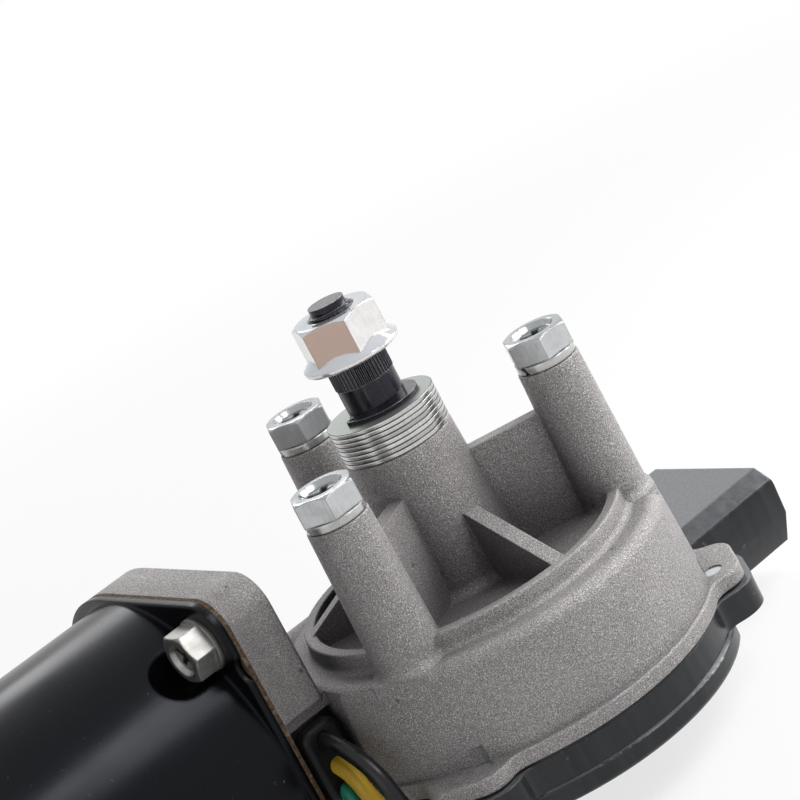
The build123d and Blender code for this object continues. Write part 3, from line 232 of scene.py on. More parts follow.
def plated_steel(name, tone, streak=(1.0, 1.0, 0.06), rough=(0.14, 0.32), haze=0.35, edge=0.16,
                 edge_shade=0.14, top_reflection=None, face_reflection=None, contact_shade=None):
    """Bright zinc over drawn steel: streaks along one way, haze, edges rounded by edge mm.

    The colour given for what slopes or faces up is a painted reflection. The face reflection is a
    way, a height in mm and a colour: above that height a reflection is painted on the face that
    looks that way. The contact ends are a low and a high end in mm: shade is painted dark along
    both.
    """
    f = Finish(name)
    streaks = f.noise(5200.0, 3.0, 0.6, streak)
    clouds = f.noise(320.0, 4.0, 0.6)
    colour = f.blend(f.ramp(streaks, 0.3, 0.7), rgb(*tone, 0.80), rgb(*tone))
    colour = f.blend(f.ramp(clouds, 0.5, 0.72, 0.0, haze), colour, rgb(0.30, 0.28, 0.26))
    # painted reflection: faces that look up get a darker, bluish colour
    if top_reflection:
        colour = f.blend(f.facing(UP, 0.25, 0.5, 0.7), colour, rgb(*top_reflection))
    # painted reflection: above a height, the face that looks one way takes a reflected colour
    if face_reflection:
        way, low, tint = face_reflection
        above = f.ramp(f.axis("Z"), low * MM, (low + 0.1) * MM)
        colour = f.blend(f.times(f.facing(way, 0.95, 0.99), above), colour, rgb(*tint))
    # painted shade: dark bands at the lowest and highest ends, where the part meets its neighbours
    if contact_shade:
        low, high = contact_shade
        level = f.maths("SUBTRACT", f.ramp(f.axis("Z"), low * MM, high * MM), 0.5)
        ends = f.ramp(f.maths("ABSOLUTE", level), 0.36, 0.45, 0.0, 0.9)
        colour = f.blend(ends, colour, rgb(0.03, 0.03, 0.035))
    # painted shade: a dark stripe along sharp edges
    colour = f.blend(f.edge_mask(edge_shade * MM, 0.8, 0.2), colour, rgb(0.08, 0.08, 0.09))
    # painted shade: darker in corners and under neighbouring parts
    colour = f.blend(f.corner_shade(2.0 * MM, 0.3, 0.75, 0.8), colour, rgb(0.05, 0.045, 0.04))
    normal = f.bump(streaks, 0.008 * MM, 0.7, f.soft_edge(edge * MM))
    return f.set(Base_Color=colour, Metallic=0.7, Roughness=f.ramp(clouds, 0.3, 0.7, *rough),
                 Normal=normal).material


def shim_steel(pitch):
    """Shim washers a pitch apart: each with its own tone, painted shade where two meet, and flat
    faces rougher and darkened with painted shade.
    """
    f = Finish("shim_zinc")
    level = f.maths("DIVIDE", f.axis("Z"), pitch)
    part = f.maths("FRACT", level)
    edge = f.maths("MINIMUM", part, f.maths("SUBTRACT", 1.0, part))
    tone = f.add("ShaderNodeTexWhiteNoise", {"W": f.maths("FLOOR", level)},
                 noise_dimensions="1D").outputs["Value"]
    streaks = f.noise(4200.0, 3.0, 0.6, (1.0, 1.0, 0.15))
    shade = f.blend(tone, rgb(0.42, 0.425, 0.42), rgb(0.66, 0.66, 0.65))
    shade = f.blend(f.ramp(streaks, 0.35, 0.65, 0.25, 0.0), shade, rgb(0.22, 0.21, 0.20))
    tilt = f.axis("Z", f.add("ShaderNodeNewGeometry").outputs["Normal"])
    side = f.ramp(f.maths("ABSOLUTE", tilt), 0.90, 0.99, 1.0, 0.0)
    # painted shade: dark stripes on the sides where two washers meet
    edge_shade = f.times(f.ramp(edge, 0.07, 0.17, 1.0, 0.0), side)
    shade = f.blend(edge_shade, shade, rgb(0.015, 0.015, 0.016))
    # flat faces: painted shade darkens them; their greater roughness is set below
    shade = f.blend(side, rgb(0.24, 0.255, 0.245), shade)
    return f.set(Base_Color=shade, Metallic=1.0, Roughness=f.ramp(side, 0.0, 1.0, 0.5, 0.26),
                 Normal=f.bump(streaks, 0.008 * MM, 0.6)).material


def black_steel(colour, rough):
    """Blackened steel with a fine grain, and bare edges that also carry a painted highlight."""
    f = Finish("black_steel")
    grain = f.noise(1800.0, 3.0)
    rub = f.noise(900.0, 3.0, 0.6, (1.0, 1.0, 0.15))
    shade = f.blend(f.ramp(grain, 0.3, 0.7), rgb(*colour), rgb(*colour, 2.4))
    shade = f.blend(f.ramp(rub, 0.62, 0.75, 0.0, 0.35), shade, rgb(0.16, 0.16, 0.17))
    # pale edges: partly rubbed bare steel, partly a painted highlight on crests
    shade = f.blend(f.edge_mask(0.18 * MM, 0.85), shade, rgb(0.55, 0.54, 0.53))
    normal = f.bump(grain, 0.01 * MM, 0.5, f.soft_edge(0.12 * MM))
    return f.set(Base_Color=shade, Metallic=0.5, Roughness=f.ramp(grain, 0.3, 0.7, *rough),
                 Specular_IOR_Level=0.5, Normal=normal).material


def moulded(name, colour, rough=0.45, grain_scale=900.0, depth=0.03, spread=1.5, gloss=0.4):
    """Moulded plastic or rubber with a fine spark texture and cloudy tone."""
    f = Finish(name)
    grain = f.noise(grain_scale, 2.0, 0.6)
    clouds = f.noise(90.0, 3.0)
    shade = f.blend(f.ramp(clouds, 0.35, 0.65), rgb(*colour), rgb(*colour, spread))
    normal = f.bump(grain, depth * MM, 0.7, f.soft_edge(0.3 * MM))
    return f.set(Base_Color=shade, Roughness=f.ramp(grain, 0.3, 0.7, rough - 0.08, rough + 0.1),
                 Specular_IOR_Level=gloss, Normal=normal).material


def cover_black():
    """Glossy black moulding: fine upright tool lines, light scratches, and dust with a painted
    sheen on what faces up.
    """
    f = Finish("cover_plastic")
    lines = f.noise(520.0, 2.0, 0.5, (1.0, 1.0, 0.04))
    grain = f.noise(1500.0, 2.0, 0.6)
    marks = f.noise(420.0, 2.0, 0.6, (1.0, 0.12, 1.0))
    shade = f.blend(f.ramp(lines, 0.3, 0.7), rgb(0.004, 0.004, 0.005), rgb(0.018, 0.018, 0.020))
    shade = f.blend(f.ramp(marks, 0.70, 0.76, 0.0, 0.5), shade, rgb(0.16, 0.16, 0.165))
    shade = f.blend(f.edge_mask(0.3 * MM, 0.25), shade, rgb(0.12, 0.12, 0.125))
    # faces that look up are paler: partly dust, partly a painted sheen
    dust = f.times(f.facing(UP, 0.6, 0.95), f.ramp(grain, 0.3, 0.7, 0.7, 1.0))
    shade = f.blend(dust, shade, rgb(0.150, 0.158, 0.168))
    height = f.maths("ADD", lines, f.times(grain, 0.4))
    normal = f.bump(height, 0.02 * MM, 0.8, f.soft_edge(0.4 * MM))
    return f.set(Base_Color=shade, Roughness=f.ramp(lines, 0.3, 0.7, 0.14, 0.26),
                 Specular_IOR_Level=0.42, Specular_Tint=rgb(0.93, 0.97, 1.0),
                 Normal=normal).material


def fibre(colour):
    """Pressed fibre sheet: short pale fibres and dark binder, rough at its cut edge."""
    f = Finish("brown_fibre")
    mottle = f.noise(1100.0, 4.0, 0.75)
    strands = f.noise(2200.0, 2.0, 0.6, (0.3, 1.0, 0.3))
    shade = f.blend(f.ramp(mottle, 0.35, 0.65), rgb(*colour, 0.3), rgb(*colour))
    shade = f.blend(f.ramp(strands, 0.55, 0.7, 0.0, 0.6), shade, rgb(0.33, 0.27, 0.20))
    return f.set(Base_Color=shade, Roughness=0.85, Specular_IOR_Level=0.2,
                 Normal=f.bump(mottle, 0.25 * MM)).material


def sheet_stack():
    """Edges of electrical sheet stacked along the motor axis, with a little rust."""
    f = Finish("core_sheets")
    wave = f.add("ShaderNodeTexWave", {"Vector": f.place, "Scale": 320.0}, bands_direction="X")
    rust = f.noise(200.0, 3.0)
    shade = f.blend(wave.outputs["Fac"], rgb(0.10, 0.10, 0.105), rgb(0.33, 0.33, 0.34))
    shade = f.blend(f.ramp(rust, 0.5, 0.7, 0.0, 0.4), shade, rgb(0.20, 0.13, 0.08))
    return f.set(Base_Color=shade, Metallic=0.8, Roughness=0.5,
                 Normal=f.bump(wave.outputs["Fac"], 0.1 * MM)).material


def copper():
    """Enamelled copper with the lines of single wires."""
    f = Finish("copper_wire")
    lay = f.add("ShaderNodeTexWave", {"Vector": f.place, "Scale": 260.0, "Distortion": 4.0},
                bands_direction="DIAGONAL")
    shade = f.blend(lay.outputs["Fac"], rgb(0.30, 0.10, 0.04), rgb(0.72, 0.32, 0.15))
    return f.set(Base_Color=shade, Metallic=0.9, Roughness=0.32,
                 Normal=f.bump(lay.outputs["Fac"], 0.2 * MM)).material


# --- geometry node trees --------------------------------------------------------------------------
class Grower(Tree):
    """A geometry node tree with named inputs, ending in Realize Instances and Set Material."""

    def __init__(self, name):
        super().__init__(bpy.data.node_groups.new(name, "GeometryNodeTree"))
        for way in ("INPUT", "OUTPUT"):
            self.tree.interface.new_socket("Geometry", in_out=way,
                                           socket_type="NodeSocketGeometry")
        self.start = self.tree.nodes.new("NodeGroupInput")
        self.end = self.tree.nodes.new("NodeGroupOutput")

    def asks(self, name, kind="NodeSocketFloat"):
        """Adds a named input and gives its socket."""
        self.tree.interface.new_socket(name, in_out="INPUT", socket_type=kind)
        return self.start.outputs[name]

    def grown(self, kind, inputs=None, **settings):
        """The first output of a node that it adds."""
        return self.add(kind, inputs, **settings).outputs[0]

    def along_z(self, value):
        """Vector with a value along Z and nothing across."""
        return self.grown("ShaderNodeCombineXYZ", {"Z": value})

    def close(self, geometry):
        """Ends the tree: instances become real and take the material input."""
        real = self.grown("GeometryNodeRealizeInstances", {0: geometry})
        material = self.asks("Material", "NodeSocketMaterial")
        coated = self.grown("GeometryNodeSetMaterial", {"Geometry": real, "Material": material})
        self.tree.links.new(coated, self.end.inputs[0])
        return self.tree


def fastener_circle():
    """Copies of one fastener, evenly spaced on a circle about Z, each turned by its own step."""
    g = Grower("fastener_circle")
    template = g.asks("Template", "NodeSocketObject")
    count = g.asks("Count", "NodeSocketInt")
    radius = g.asks("Circle Radius")
    first = g.asks("First Angle")
    step = g.asks("Turn Step")
    index = g.grown("GeometryNodeInputIndex")
    share = g.maths("DIVIDE", math.tau, count)
    round_angle = g.maths("ADD", first, g.maths("MULTIPLY", index, share))
    place = g.grown("ShaderNodeCombineXYZ", {
        "X": g.maths("MULTIPLY", radius, g.maths("COSINE", round_angle)),
        "Y": g.maths("MULTIPLY", radius, g.maths("SINE", round_angle))})
    points = g.grown("GeometryNodePoints", {"Count": count, "Position": place})
    angle = g.maths("ADD", round_angle, g.maths("MULTIPLY", index, step))
    shape = g.add("GeometryNodeObjectInfo", {"Object": template})
    return g.close(g.grown("GeometryNodeInstanceOnPoints", {
        "Points": points, "Instance": shape.outputs["Geometry"], "Rotation": g.along_z(angle)}))


def flat_ring():
    """Flat washer with rounded edges, swept about Z from its section."""
    g = Grower("flat_ring")
    outer = g.asks("Outer Radius")
    bore = g.asks("Bore Radius")
    thick = g.asks("Thickness")
    edge = g.asks("Edge Radius")
    low = g.asks("Height")
    width = g.maths("SUBTRACT", outer, bore)
    section = g.grown("GeometryNodeCurvePrimitiveQuadrilateral", {"Width": width, "Height": thick})
    section = g.grown("GeometryNodeFilletCurve", {"Curve": section, "Radius": edge, "Count": 3},
                      mode="POLY")
    middle = g.maths("MULTIPLY", g.maths("ADD", outer, bore), 0.5)
    path = g.grown("GeometryNodeCurvePrimitiveCircle", {"Resolution": 128, "Radius": middle})
    ring = g.grown("GeometryNodeCurveToMesh", {"Curve": path, "Profile Curve": section})
    centre = g.maths("ADD", low, g.maths("MULTIPLY", thick, 0.5))
    return g.close(g.grown("GeometryNodeTransform", {
        "Geometry": ring, "Translation": g.along_z(centre)}))


def screw_thread():
    """Thread crest that climbs round Z, swept from a diamond section."""
    g = Grower("screw_thread")
    radius = g.asks("Root Radius")
    pitch = g.asks("Pitch")
    turns = g.asks("Turns")
    crest = g.asks("Crest Height")
    low = g.asks("Height")
    path = g.grown("GeometryNodeCurveSpiral", {
        "Resolution": 48, "Rotations": turns, "Start Radius": radius, "End Radius": radius,
        "Height": g.maths("MULTIPLY", pitch, turns)})
    path = g.grown("GeometryNodeSetCurveNormal", {"Curve": path}, mode="Z_UP")
    section = g.grown("GeometryNodeCurvePrimitiveCircle", {"Resolution": 4, "Radius": crest})
    ridge = g.grown("GeometryNodeCurveToMesh", {
        "Curve": path, "Profile Curve": section, "Fill Caps": True})
    return g.close(g.grown("GeometryNodeTransform", {
        "Geometry": ridge, "Translation": g.along_z(low)}))


def grow(tree, name, material, **inputs):
    """Plain mesh object made by a tree; an input's underscores stand for spaces."""
    piece = bpy.data.objects.new(name, bpy.data.meshes.new(name))
    bpy.context.scene.collection.objects.link(piece)
    modifier = piece.modifiers.new(name, "NODES")
    modifier.node_group = tree
    values = {key.replace("_", " "): value for key, value in inputs.items()}
    values["Material"] = material
    for item in tree.interface.items_tree:
        if item.in_out == "INPUT" and item.name in values:
            modifier[item.identifier] = values[item.name]
    graph = bpy.context.evaluated_depsgraph_get()
    mesh = bpy.data.meshes.new_from_object(piece.evaluated_get(graph))
    mesh.name = name
    piece.modifiers.remove(modifier)
    piece.data = mesh
    return piece


# --- mesh helpers ---------------------------------------------------------------------------------
SAME_POINT = 0.001 * MM
SAME_PLANE = math.radians(0.5)


def merged(node):
    """Working mesh of a fixed solid with its points merged and its flat faces joined."""
    work = bmesh.new()
    work.from_mesh(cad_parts[node].data)
    bmesh.ops.remove_doubles(work, verts=work.verts, dist=SAME_POINT)
    bmesh.ops.dissolve_limit(work, angle_limit=SAME_PLANE, verts=work.verts, edges=work.edges)
    return work


def smooth_object(work, name, angle=32.0):
    """Object from a working mesh, smooth over its curved faces and sharp at its edges."""
    limit = math.radians(angle)
    for face in work.faces:
        face.smooth = True
    for edge in work.edges:
        edge.smooth = edge.is_manifold and edge.calc_face_angle(0.0) < limit
    mesh = bpy.data.meshes.new(name)
    work.to_mesh(mesh)
    work.free()
    piece = bpy.data.objects.new(name, mesh)
    bpy.context.scene.collection.objects.link(piece)
    return piece


def weigh(piece):
    """Makes flat faces shade flat up to their rounded neighbours."""
    weight = piece.modifiers.new("weighted", "WEIGHTED_NORMAL")
    weight.keep_sharp = True
    weight.weight = 80
    return piece


def template(node, where):
    """One fastener of a group, the one at a frame's origin, moved into that frame."""
    work = merged(node)
    centre = where.to_translation()
    left = set(work.verts)
    groups = []
    while left:
        reach = [left.pop()]
        group = set(reach)
        while reach:
            for edge in reach.pop().link_edges:
                for vert in edge.verts:
                    if vert in left:
                        left.discard(vert)
                        group.add(vert)
                        reach.append(vert)
        groups.append(group)
    nearest = min(groups, key=lambda group: sum((vert.co - centre).length
                                                for vert in group) / len(group))
    bmesh.ops.delete(work, geom=[vert for vert in work.verts if vert not in nearest],
                     context="VERTS")
    bmesh.ops.transform(work, matrix=where.inverted(), verts=work.verts)
    return smooth_object(work, node + "_template")


def fastener_set(node, material, count, circle, first, step, plane=None):
    """All fasteners of a group, copied round a circle from the first of them; mm and degrees."""
    plane = plane or Matrix.Identity(4)
    turn = Matrix.Rotation(math.radians(first), 4, "Z")
    where = plane @ turn @ Matrix.Translation((circle * MM, 0, 0))
    shape = template(node, where)
    piece = grow(fastener_circle(), node + "_finished", material, Template=shape, Count=count,
                 Circle_Radius=circle * MM, First_Angle=math.radians(first),
                 Turn_Step=math.radians(step))
    bpy.data.objects.remove(shape)
    piece.data.transform(plane)
    return weigh(piece)


def mount(piece, body, slot, material, *nodes):
    """Gives a piece its finish, its body and the nodes that it stands for."""
    piece.data.materials.clear()
    piece.data.materials.append(material)
    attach(piece, body)
    if nodes:
        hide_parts(*nodes)


def refine(node, body, slot, material, angle=32.0):
    """A finished, smooth stand-in for one fixed solid."""
    piece = weigh(smooth_object(merged(node), node + "_finished", angle))
    mount(piece, body, slot, material, node)


def paint(material, *nodes):
    """Gives fixed solids that stay as they are a finish."""
    for node in nodes:
        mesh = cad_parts[node].data
        mesh.materials.clear()
        mesh.materials.append(material)


# --- settings -------------------------------------------------------------------------------------
class HousingSettings(bpy.types.PropertyGroup):
    grain_scale: bpy.props.FloatProperty(name="Grain scale", default=5200.0,
                                         description="Sand grains per metre")
    grain_depth: bpy.props.FloatProperty(name="Grain depth", default=0.22,
                                         description="Depth of the sand texture in millimetres")
    light_colour: bpy.props.FloatVectorProperty(name="Light tone", subtype="COLOR",
                                                default=(0.37, 0.352, 0.348),
                                                description="Lighter tone of the casting")
    dark_colour: bpy.props.FloatVectorProperty(name="Dark tone", subtype="COLOR",
                                               default=(0.28, 0.264, 0.264),
                                               description="Darker tone of the casting")


class CanSettings(bpy.types.PropertyGroup):
    enamel_colour: bpy.props.FloatVectorProperty(name="Enamel", subtype="COLOR",
                                                 default=(0.0025, 0.0028, 0.0038),
                                                 description="Colour of the can's enamel")


class ShaftSettings(bpy.types.PropertyGroup):
    washer_edge: bpy.props.FloatProperty(name="Washer edge", default=0.16 * MM, unit="LENGTH",
                                         description="Radius of a shim washer's edges")
    thread_pitch: bpy.props.FloatProperty(name="Thread pitch", default=1.25 * MM, unit="LENGTH",
                                          description="Pitch of the output thread")
    thread_crest: bpy.props.FloatProperty(name="Thread crest", default=0.22 * MM, unit="LENGTH",
                                          description="How far a crest stands out")


class LeadSettings(bpy.types.PropertyGroup):
    thickness: bpy.props.FloatProperty(name="Thickness", default=2.8 * MM, unit="LENGTH",
                                       description="Outside diameter of a lead")
    yellow: bpy.props.FloatVectorProperty(name="Yellow", subtype="COLOR",
                                          default=(0.58, 0.37, 0.035),
                                          description="Colour of the yellow lead")
    green: bpy.props.FloatVectorProperty(name="Green", subtype="COLOR",
                                         default=(0.012, 0.19, 0.12),
                                         description="Colour of the green lead")


class StageSettings(bpy.types.PropertyGroup):
    floor_colour: bpy.props.FloatVectorProperty(name="Floor", subtype="COLOR",
                                                default=(0.93, 0.93, 0.93),
                                                description="Colour of the floor")
    key_power: bpy.props.FloatProperty(name="Key light", default=2.2, unit="POWER",
                                       description="Power of the large soft light")
    sky: bpy.props.FloatProperty(name="Sky light", default=0.07,
                                 description="Strength of the light from all around")


# --- pieces ---------------------------------------------------------------------------------------
class MOTOR_OT_housing(bpy.types.Operator):
    """Finishes the cast gear housing"""
    bl_idname = "motor.housing"
    bl_label = "Cast housing"

    def execute(self, context):
        alloy = cast_alloy(context.scene.motor_housing)
        refine("gear_housing", "housing", "die_cast", alloy, 30.0)
        return {"FINISHED"}


class MOTOR_OT_can(bpy.types.Operator):
    """Finishes the enamelled motor can and its gasket"""
    bl_idname = "motor.can"
    bl_label = "Motor can"

    def execute(self, context):
        refine("motor_can", "housing", "black_enamel", enamel(context.scene.motor_can), 40.0)
        refine("can_gasket", "housing", "brown_gasket", fibre((0.155, 0.105, 0.068)))
        return {"FINISHED"}


class MOTOR_OT_shaft(bpy.types.Operator):
    """Finishes the output shaft and its ring, and cuts the thread's crests"""
    bl_idname = "motor.shaft"
    bl_label = "Output shaft"

    THREAD_RADIUS = 4.0 * MM
    THREAD_FROM = 22.4 * MM
    THREAD_TURNS = 1.5

    def execute(self, context):
        settings = context.scene.motor_shaft
        black = black_steel((0.008, 0.008, 0.013), (0.14, 0.26))
        refine("output_shaft", "output", "black_steel", black)
        refine("snap_ring", "output", "black_steel", black)
        thread = grow(screw_thread(), "shaft_thread", black, Root_Radius=self.THREAD_RADIUS,
                      Pitch=settings.thread_pitch, Turns=self.THREAD_TURNS,
                      Crest_Height=settings.thread_crest, Height=self.THREAD_FROM)
        mount(thread, "output", "black_steel", black)
        return {"FINISHED"}


class MOTOR_OT_nut(bpy.types.Operator):
    """Finishes the flange nut"""
    bl_idname = "motor.nut"
    bl_label = "Flange nut"

    # way of the face with a painted reflection, height in millimetres above which it is painted,
    # and the colour painted
    REFLECTING_FACE = (-0.772, -0.636, 0.0)
    FLANGE_TOP = 17.0
    REFLECTED_COLOUR = (0.53, 0.395, 0.34)

    def execute(self, context):
        zinc = plated_steel("nut_zinc", (0.90, 0.89, 0.88), (1.0, 1.0, 0.1), (0.06, 0.14),
                            haze=0.15, edge=0.3, edge_shade=0.24, top_reflection=(0.50, 0.54, 0.585),
                            face_reflection=(self.REFLECTING_FACE, self.FLANGE_TOP, self.REFLECTED_COLOUR))
        refine("flange_nut", "output", "zinc_steel", zinc, 28.0)
        return {"FINISHED"}


class MOTOR_OT_washers(bpy.types.Operator):
    """Makes the shim washers stacked under the shaft's ring"""
    bl_idname = "motor.washers"
    bl_label = "Shim washers"

    COUNT = 8
    PITCH = 0.8 * MM
    BORE_RADIUS = 5.2 * MM

    def execute(self, context):
        tree = flat_ring()
        finish = shim_steel(self.PITCH)
        for index in range(1, self.COUNT + 1):
            node = f"shaft_washer_{index}"
            low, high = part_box(node)
            ring = grow(tree, node + "_finished", finish, Outer_Radius=high[0],
                        Bore_Radius=self.BORE_RADIUS, Thickness=high[2] - low[2],
                        Edge_Radius=context.scene.motor_shaft.washer_edge, Height=low[2])
            ring.data.shade_smooth()
            mount(weigh(ring), "housing", "zinc_steel", finish, node)
        return {"FINISHED"}


class MOTOR_OT_bolts(bpy.types.Operator):
    """Makes the mounting bolts and their split washers, and the screws of can and cover"""
    bl_idname = "motor.bolts"
    bl_label = "Bolts and screws"

    # circles in millimetres, angles and steps in degrees
    POST_COUNT = 3
    POST_CIRCLE = 27.3
    FIRST_POST = 90.0
    BOLT_STEP = -120.0          # each bolt keeps the turn of the first
    WASHER_STEP = 70.0
    CAN_SCREW_COUNT = 2
    CAN_SCREW_CIRCLE = 23.0 * math.sqrt(2)
    FIRST_CAN_SCREW = 135.0
    CAN_SCREW_STEP = -180.0
    MOTOR_AXIS = (29.0 * MM, -33.0 * MM)
    MOTOR_PLANE = Matrix(((0, 0, 1, 0), (1, 0, 0, MOTOR_AXIS[0]), (0, 1, 0, MOTOR_AXIS[1]),
                          (0, 0, 0, 1)))

    def execute(self, context):
        drawn = plated_steel("bolt_zinc", (0.62, 0.64, 0.65), rough=(0.10, 0.24), edge=0.4,
                             edge_shade=0.24, top_reflection=(0.32, 0.34, 0.355))
        bolts = fastener_set("mounting_bolts", drawn, self.POST_COUNT, self.POST_CIRCLE,
                             self.FIRST_POST, self.BOLT_STEP)
        mount(bolts, "housing", "zinc_steel", drawn, "mounting_bolts")
        sprung = plated_steel("washer_steel", (0.58, 0.58, 0.57), (1.0, 1.0, 1.0), (0.14, 0.3),
                              edge=0.8, contact_shade=(0.0, 1.6))
        washers = fastener_set("spring_washers", sprung, self.POST_COUNT, self.POST_CIRCLE,
                               self.FIRST_POST, self.WASHER_STEP)
        mount(washers, "housing", "zinc_steel", sprung, "spring_washers")
        along = plated_steel("can_screw_zinc", (0.34, 0.335, 0.32), (0.06, 1.0, 1.0), (0.24, 0.42),
                             edge=0.4, edge_shade=0.24)
        screws = fastener_set("can_screws", along, self.CAN_SCREW_COUNT, self.CAN_SCREW_CIRCLE,
                              self.FIRST_CAN_SCREW, self.CAN_SCREW_STEP, self.MOTOR_PLANE)
        mount(screws, "housing", "zinc_steel", along, "can_screws")
        refine("cover_screws", "housing", "zinc_steel",
               plated_steel("cover_screw_zinc", (0.62, 0.64, 0.66)))
        return {"FINISHED"}


class MOTOR_OT_leads(bpy.types.Operator):
    """Makes the three leads and their rubber outlet"""
    bl_idname = "motor.leads"
    bl_label = "Leads"

    ROUTES = {
        "lead_black": ((-38.3, 3.4, -31.0), (-38.3, -2.2, -31.5), (-38.3, -8.4, -33.3),
                       (-38.3, -13.5, -37.2), (-38.2, -15.2, -42.8), (-36.6, -15.2, -47.6),
                       (-32.8, -13.9, -50.4), (-28.9, -12.4, -50.8)),
        "lead_yellow": ((-38.3, 3.4, -35.5), (-38.4, -1.6, -36.0), (-38.5, -5.9, -37.9),
                        (-38.5, -7.9, -42.3), (-37.4, -8.7, -46.9), (-33.8, -8.7, -49.7),
                        (-30.2, -8.0, -50.1)),
        "lead_green": ((-38.5, 2.8, -39.5), (-39.0, -1.5, -40.0), (-39.4, -4.3, -42.6),
                       (-39.2, -4.9, -46.4), (-36.8, -4.6, -49.7), (-32.4, -4.3, -50.3)),
    }

    BLACK = (0.006, 0.006, 0.007)

    def execute(self, context):
        settings = context.scene.motor_leads
        colours = {"lead_black": self.BLACK, "lead_yellow": settings.yellow,
                   "lead_green": settings.green}
        for name, route in self.ROUTES.items():
            curve = bpy.data.curves.new(name + "_insulation", "CURVE")
            curve.dimensions = "3D"
            curve.bevel_depth = settings.thickness / 2
            curve.bevel_resolution = 6
            curve.use_fill_caps = True
            spline = curve.splines.new("NURBS")
            spline.points.add(len(route) - 1)
            for point, place in zip(spline.points, route):
                point.co = (*[value * MM for value in place], 1.0)
            spline.order_u = 3
            spline.use_endpoint_u = True
            spline.resolution_u = 16
            piece = bpy.data.objects.new(name + "_insulation", curve)
            context.scene.collection.objects.link(piece)
            finish = moulded(name + "_vinyl", colours[name], 0.32, 500.0, 0.012, 1.2, 0.3)
            mount(piece, "housing", name, finish, name)
        refine("lead_grommet", "housing", "black_rubber",
               moulded("soft_rubber", (0.004, 0.004, 0.005), 0.36, 300.0, 0.05, 1.5, 0.15))
        return {"FINISHED"}


class MOTOR_OT_cover(bpy.types.Operator):
    """Finishes the cover, the connector, the seal and the blades"""
    bl_idname = "motor.cover"
    bl_label = "Cover and connector"

    def execute(self, context):
        refine("gear_cover", "housing", "cover_plastic", cover_black())
        paint(moulded("seal_rubber", (0.012, 0.012, 0.012), 0.6), "cover_seal", "shaft_seal")
        paint(plated_steel("tinned_brass", (0.72, 0.66, 0.50), (0.08, 1.0, 1.0)),
              "connector_terminals", "park_contacts", "contact_disc")
        return {"FINISHED"}


class MOTOR_OT_inside(bpy.types.Operator):
    """Finishes the pieces inside the motor and the gear chamber"""
    bl_idname = "motor.inside"
    bl_label = "Inner pieces"

    def execute(self, context):
        paint(moulded("acetal", (0.70, 0.66, 0.55), 0.4), "worm_wheel", "tip_thrust_pad",
              "rear_thrust_pad")
        paint(plated_steel("ground_steel", (0.52, 0.52, 0.52), (0.08, 1.0, 1.0)), "armature_shaft",
              "wheel_thrust_washer", "brush_springs")
        paint(sheet_stack(), "armature_core")
        paint(copper(), "armature_windings", "commutator")
        paint(moulded("ferrite", (0.05, 0.05, 0.055), 0.6, 1500.0, 0.05), "field_magnets")
        paint(moulded("carbon", (0.02, 0.02, 0.02), 0.5, 2500.0, 0.05), "common_brush",
              "low_speed_brush", "high_speed_brush")
        paint(moulded("phenolic", (0.10, 0.045, 0.02), 0.5), "brush_holder")
        bronze = plated_steel("sintered_bronze", (0.58, 0.40, 0.22), (1.0, 1.0, 1.0), (0.4, 0.6))
        paint(bronze, "upper_bush", "lower_bush", "front_bush", "rear_bush", "tip_bush")
        return {"FINISHED"}


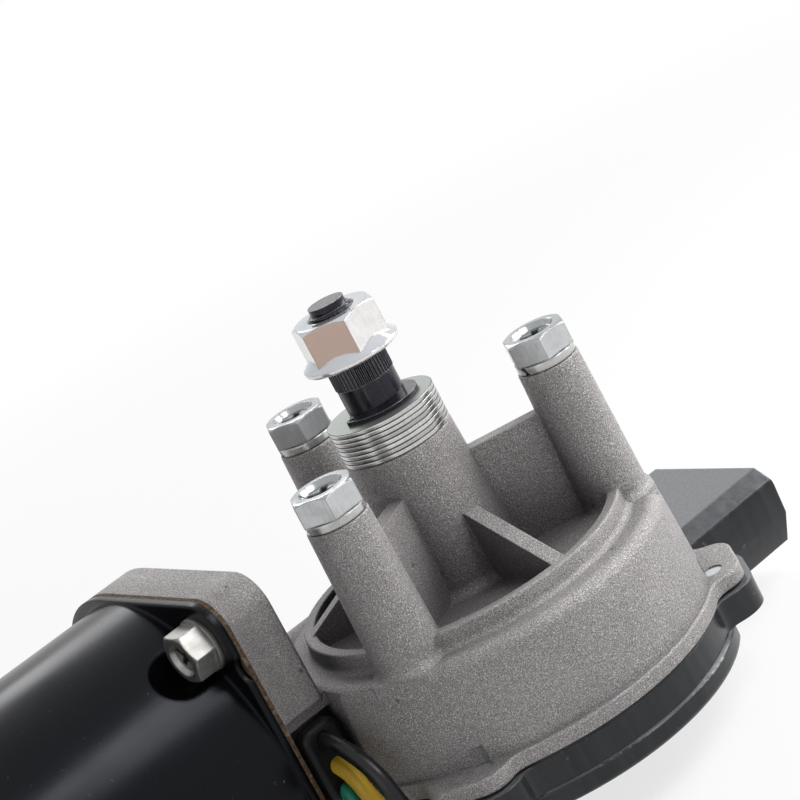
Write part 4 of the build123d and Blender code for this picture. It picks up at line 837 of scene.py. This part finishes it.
class MOTOR_OT_stage(bpy.types.Operator):
    """Sets up the floor, the light and the camera"""
    bl_idname = "motor.stage"
    bl_label = "Stage"

    # millimetres, degrees and, for the lens, millimetres of focal length
    CAMERA_PLACE = (-214.46, -376.63, 124.75)
    CAMERA_FORWARD = (0.48358, 0.83415, -0.26522)
    CAMERA_ROLL = -27.618
    CAMERA_LENS = 126.0
    # metres; the fade runs from the first distance off the part's origin to the second
    FLOOR_HALF = 3.0
    FLOOR_GAP = 0.2 * MM
    FLOOR_FADE = (0.1, 0.5)
    # place and size in millimetres, and share of the key light's power
    LAMP_AIM = (-20, 0, -20)
    LAMPS = {
        "key_box": ((400, -80, 190), (320, 260), 1.0),
        "band_box": ((152, -246, 314), (190, 190), 0.4),
        "back_box": ((135, 349, 230), (180, 120), 0.15),
        "fill_box": ((-400, -200, 100), (300, 300), 0.1),
    }

    def add_camera(self, scene):
        """Long-lens camera, rolled, that looks down on the tower from the motor's side."""
        camera = bpy.data.cameras.new("camera")
        camera.lens = self.CAMERA_LENS
        camera.sensor_width = 36.0
        camera.clip_start, camera.clip_end = 0.01, 20.0
        view = bpy.data.objects.new("camera", camera)
        scene.collection.objects.link(view)
        level = Vector(self.CAMERA_FORWARD).to_track_quat("-Z", "Y").to_matrix()
        turn = Matrix.Rotation(math.radians(self.CAMERA_ROLL), 3, "Z")
        place = Matrix.Translation(Vector(self.CAMERA_PLACE) * MM)
        view.matrix_world = place @ (level @ turn).to_4x4()
        scene.camera = view

    def add_floor(self, scene, colour):
        """Pale floor just under the part, lifted towards white for seen rays, fully so far out."""
        mesh = bpy.data.meshes.new("floor")
        half, low = self.FLOOR_HALF, CAD_BOX[0].z - self.FLOOR_GAP
        mesh.from_pydata([(-half, -half, low), (half, -half, low), (half, half, low),
                          (-half, half, low)], [], [(0, 1, 2, 3)])
        floor = bpy.data.objects.new("floor", mesh)
        scene.collection.objects.link(floor)
        f = Finish("floor")
        f.set(Base_Color=rgb(*colour), Roughness=0.9, Specular_IOR_Level=0.0)
        white = f.add("ShaderNodeEmission", {"Color": WHITE, "Strength": 1.0})
        reach = f.add("ShaderNodeVectorMath", {0: f.place}, operation="LENGTH").outputs["Value"]
        share = f.times(f.seen(), f.ramp(reach, *self.FLOOR_FADE, 0.75, 1.0))
        mixed = f.add("ShaderNodeMixShader", {0: share, 1: f.shader.outputs[0],
                                              2: white.outputs[0]})
        f.tree.links.new(mixed.outputs[0], f.tree.nodes["Material Output"].inputs["Surface"])
        mesh.materials.append(f.material)

    def add_sky(self, scene, strength):
        """Weak light from all around, behind a backdrop that is seen as white."""
        world = bpy.data.worlds.new("studio")
        scene.world = world
        world.use_nodes = True
        w = Tree(world.node_tree)
        sky = w.tree.nodes["Background"]
        sky.inputs["Color"].default_value = WHITE
        sky.inputs["Strength"].default_value = strength
        plain = w.add("ShaderNodeBackground", {"Color": WHITE})
        mix = w.add("ShaderNodeMixShader", {0: w.seen(), 1: sky.outputs[0], 2: plain.outputs[0]})
        w.tree.links.new(mix.outputs[0], w.tree.nodes["World Output"].inputs["Surface"])

    def add_lamp(self, scene, name, place, size, power):
        """Soft rectangular lamp that looks at the part; its place and size are in millimetres."""
        lamp = bpy.data.lights.new(name, "AREA")
        lamp.shape = "RECTANGLE"
        lamp.size, lamp.size_y = size[0] * MM, size[1] * MM
        lamp.energy = power
        piece = bpy.data.objects.new(name, lamp)
        scene.collection.objects.link(piece)
        piece.location = Vector(place) * MM
        way = Vector(self.LAMP_AIM) * MM - piece.location
        piece.rotation_euler = way.to_track_quat("-Z", "Y").to_euler()

    def execute(self, context):
        settings = context.scene.motor_stage
        scene = context.scene
        self.add_camera(scene)
        self.add_floor(scene, settings.floor_colour)
        self.add_sky(scene, settings.sky)
        scene.view_settings.view_transform = "Standard"
        for name, (place, size, share) in self.LAMPS.items():
            self.add_lamp(scene, name, place, size, settings.key_power * share)
        return {"FINISHED"}


class MOTOR_PT_panel(bpy.types.Panel):
    bl_label = "Wiper Motor"
    bl_idname = "MOTOR_PT_panel"
    bl_space_type = "VIEW_3D"
    bl_region_type = "UI"
    bl_category = "Wiper Motor"

    def draw(self, context):
        for step in STEPS:
            self.layout.operator(step.bl_idname)
        for name, group in SETTINGS.items():
            box = self.layout.box()
            for key in group.__annotations__:
                box.prop(getattr(context.scene, name), key)


SETTINGS = {"motor_housing": HousingSettings, "motor_can": CanSettings,
            "motor_shaft": ShaftSettings, "motor_leads": LeadSettings, "motor_stage": StageSettings}
STEPS = (MOTOR_OT_housing, MOTOR_OT_can, MOTOR_OT_shaft, MOTOR_OT_nut, MOTOR_OT_washers,
         MOTOR_OT_bolts, MOTOR_OT_leads, MOTOR_OT_cover, MOTOR_OT_inside, MOTOR_OT_stage)


def register():
    for name, group in SETTINGS.items():
        bpy.utils.register_class(group)
        setattr(bpy.types.Scene, name, bpy.props.PointerProperty(type=group))
    for item in (*STEPS, MOTOR_PT_panel):
        bpy.utils.register_class(item)


def unregister():
    for item in (*STEPS, MOTOR_PT_panel):
        bpy.utils.unregister_class(item)
    for name, group in SETTINGS.items():
        delattr(bpy.types.Scene, name)
        bpy.utils.unregister_class(group)


def main():
    register()
    for step in STEPS:
        group, name = step.bl_idname.split(".")
        getattr(getattr(bpy.ops, group), name)()


if __name__ == "__main__":
    main()
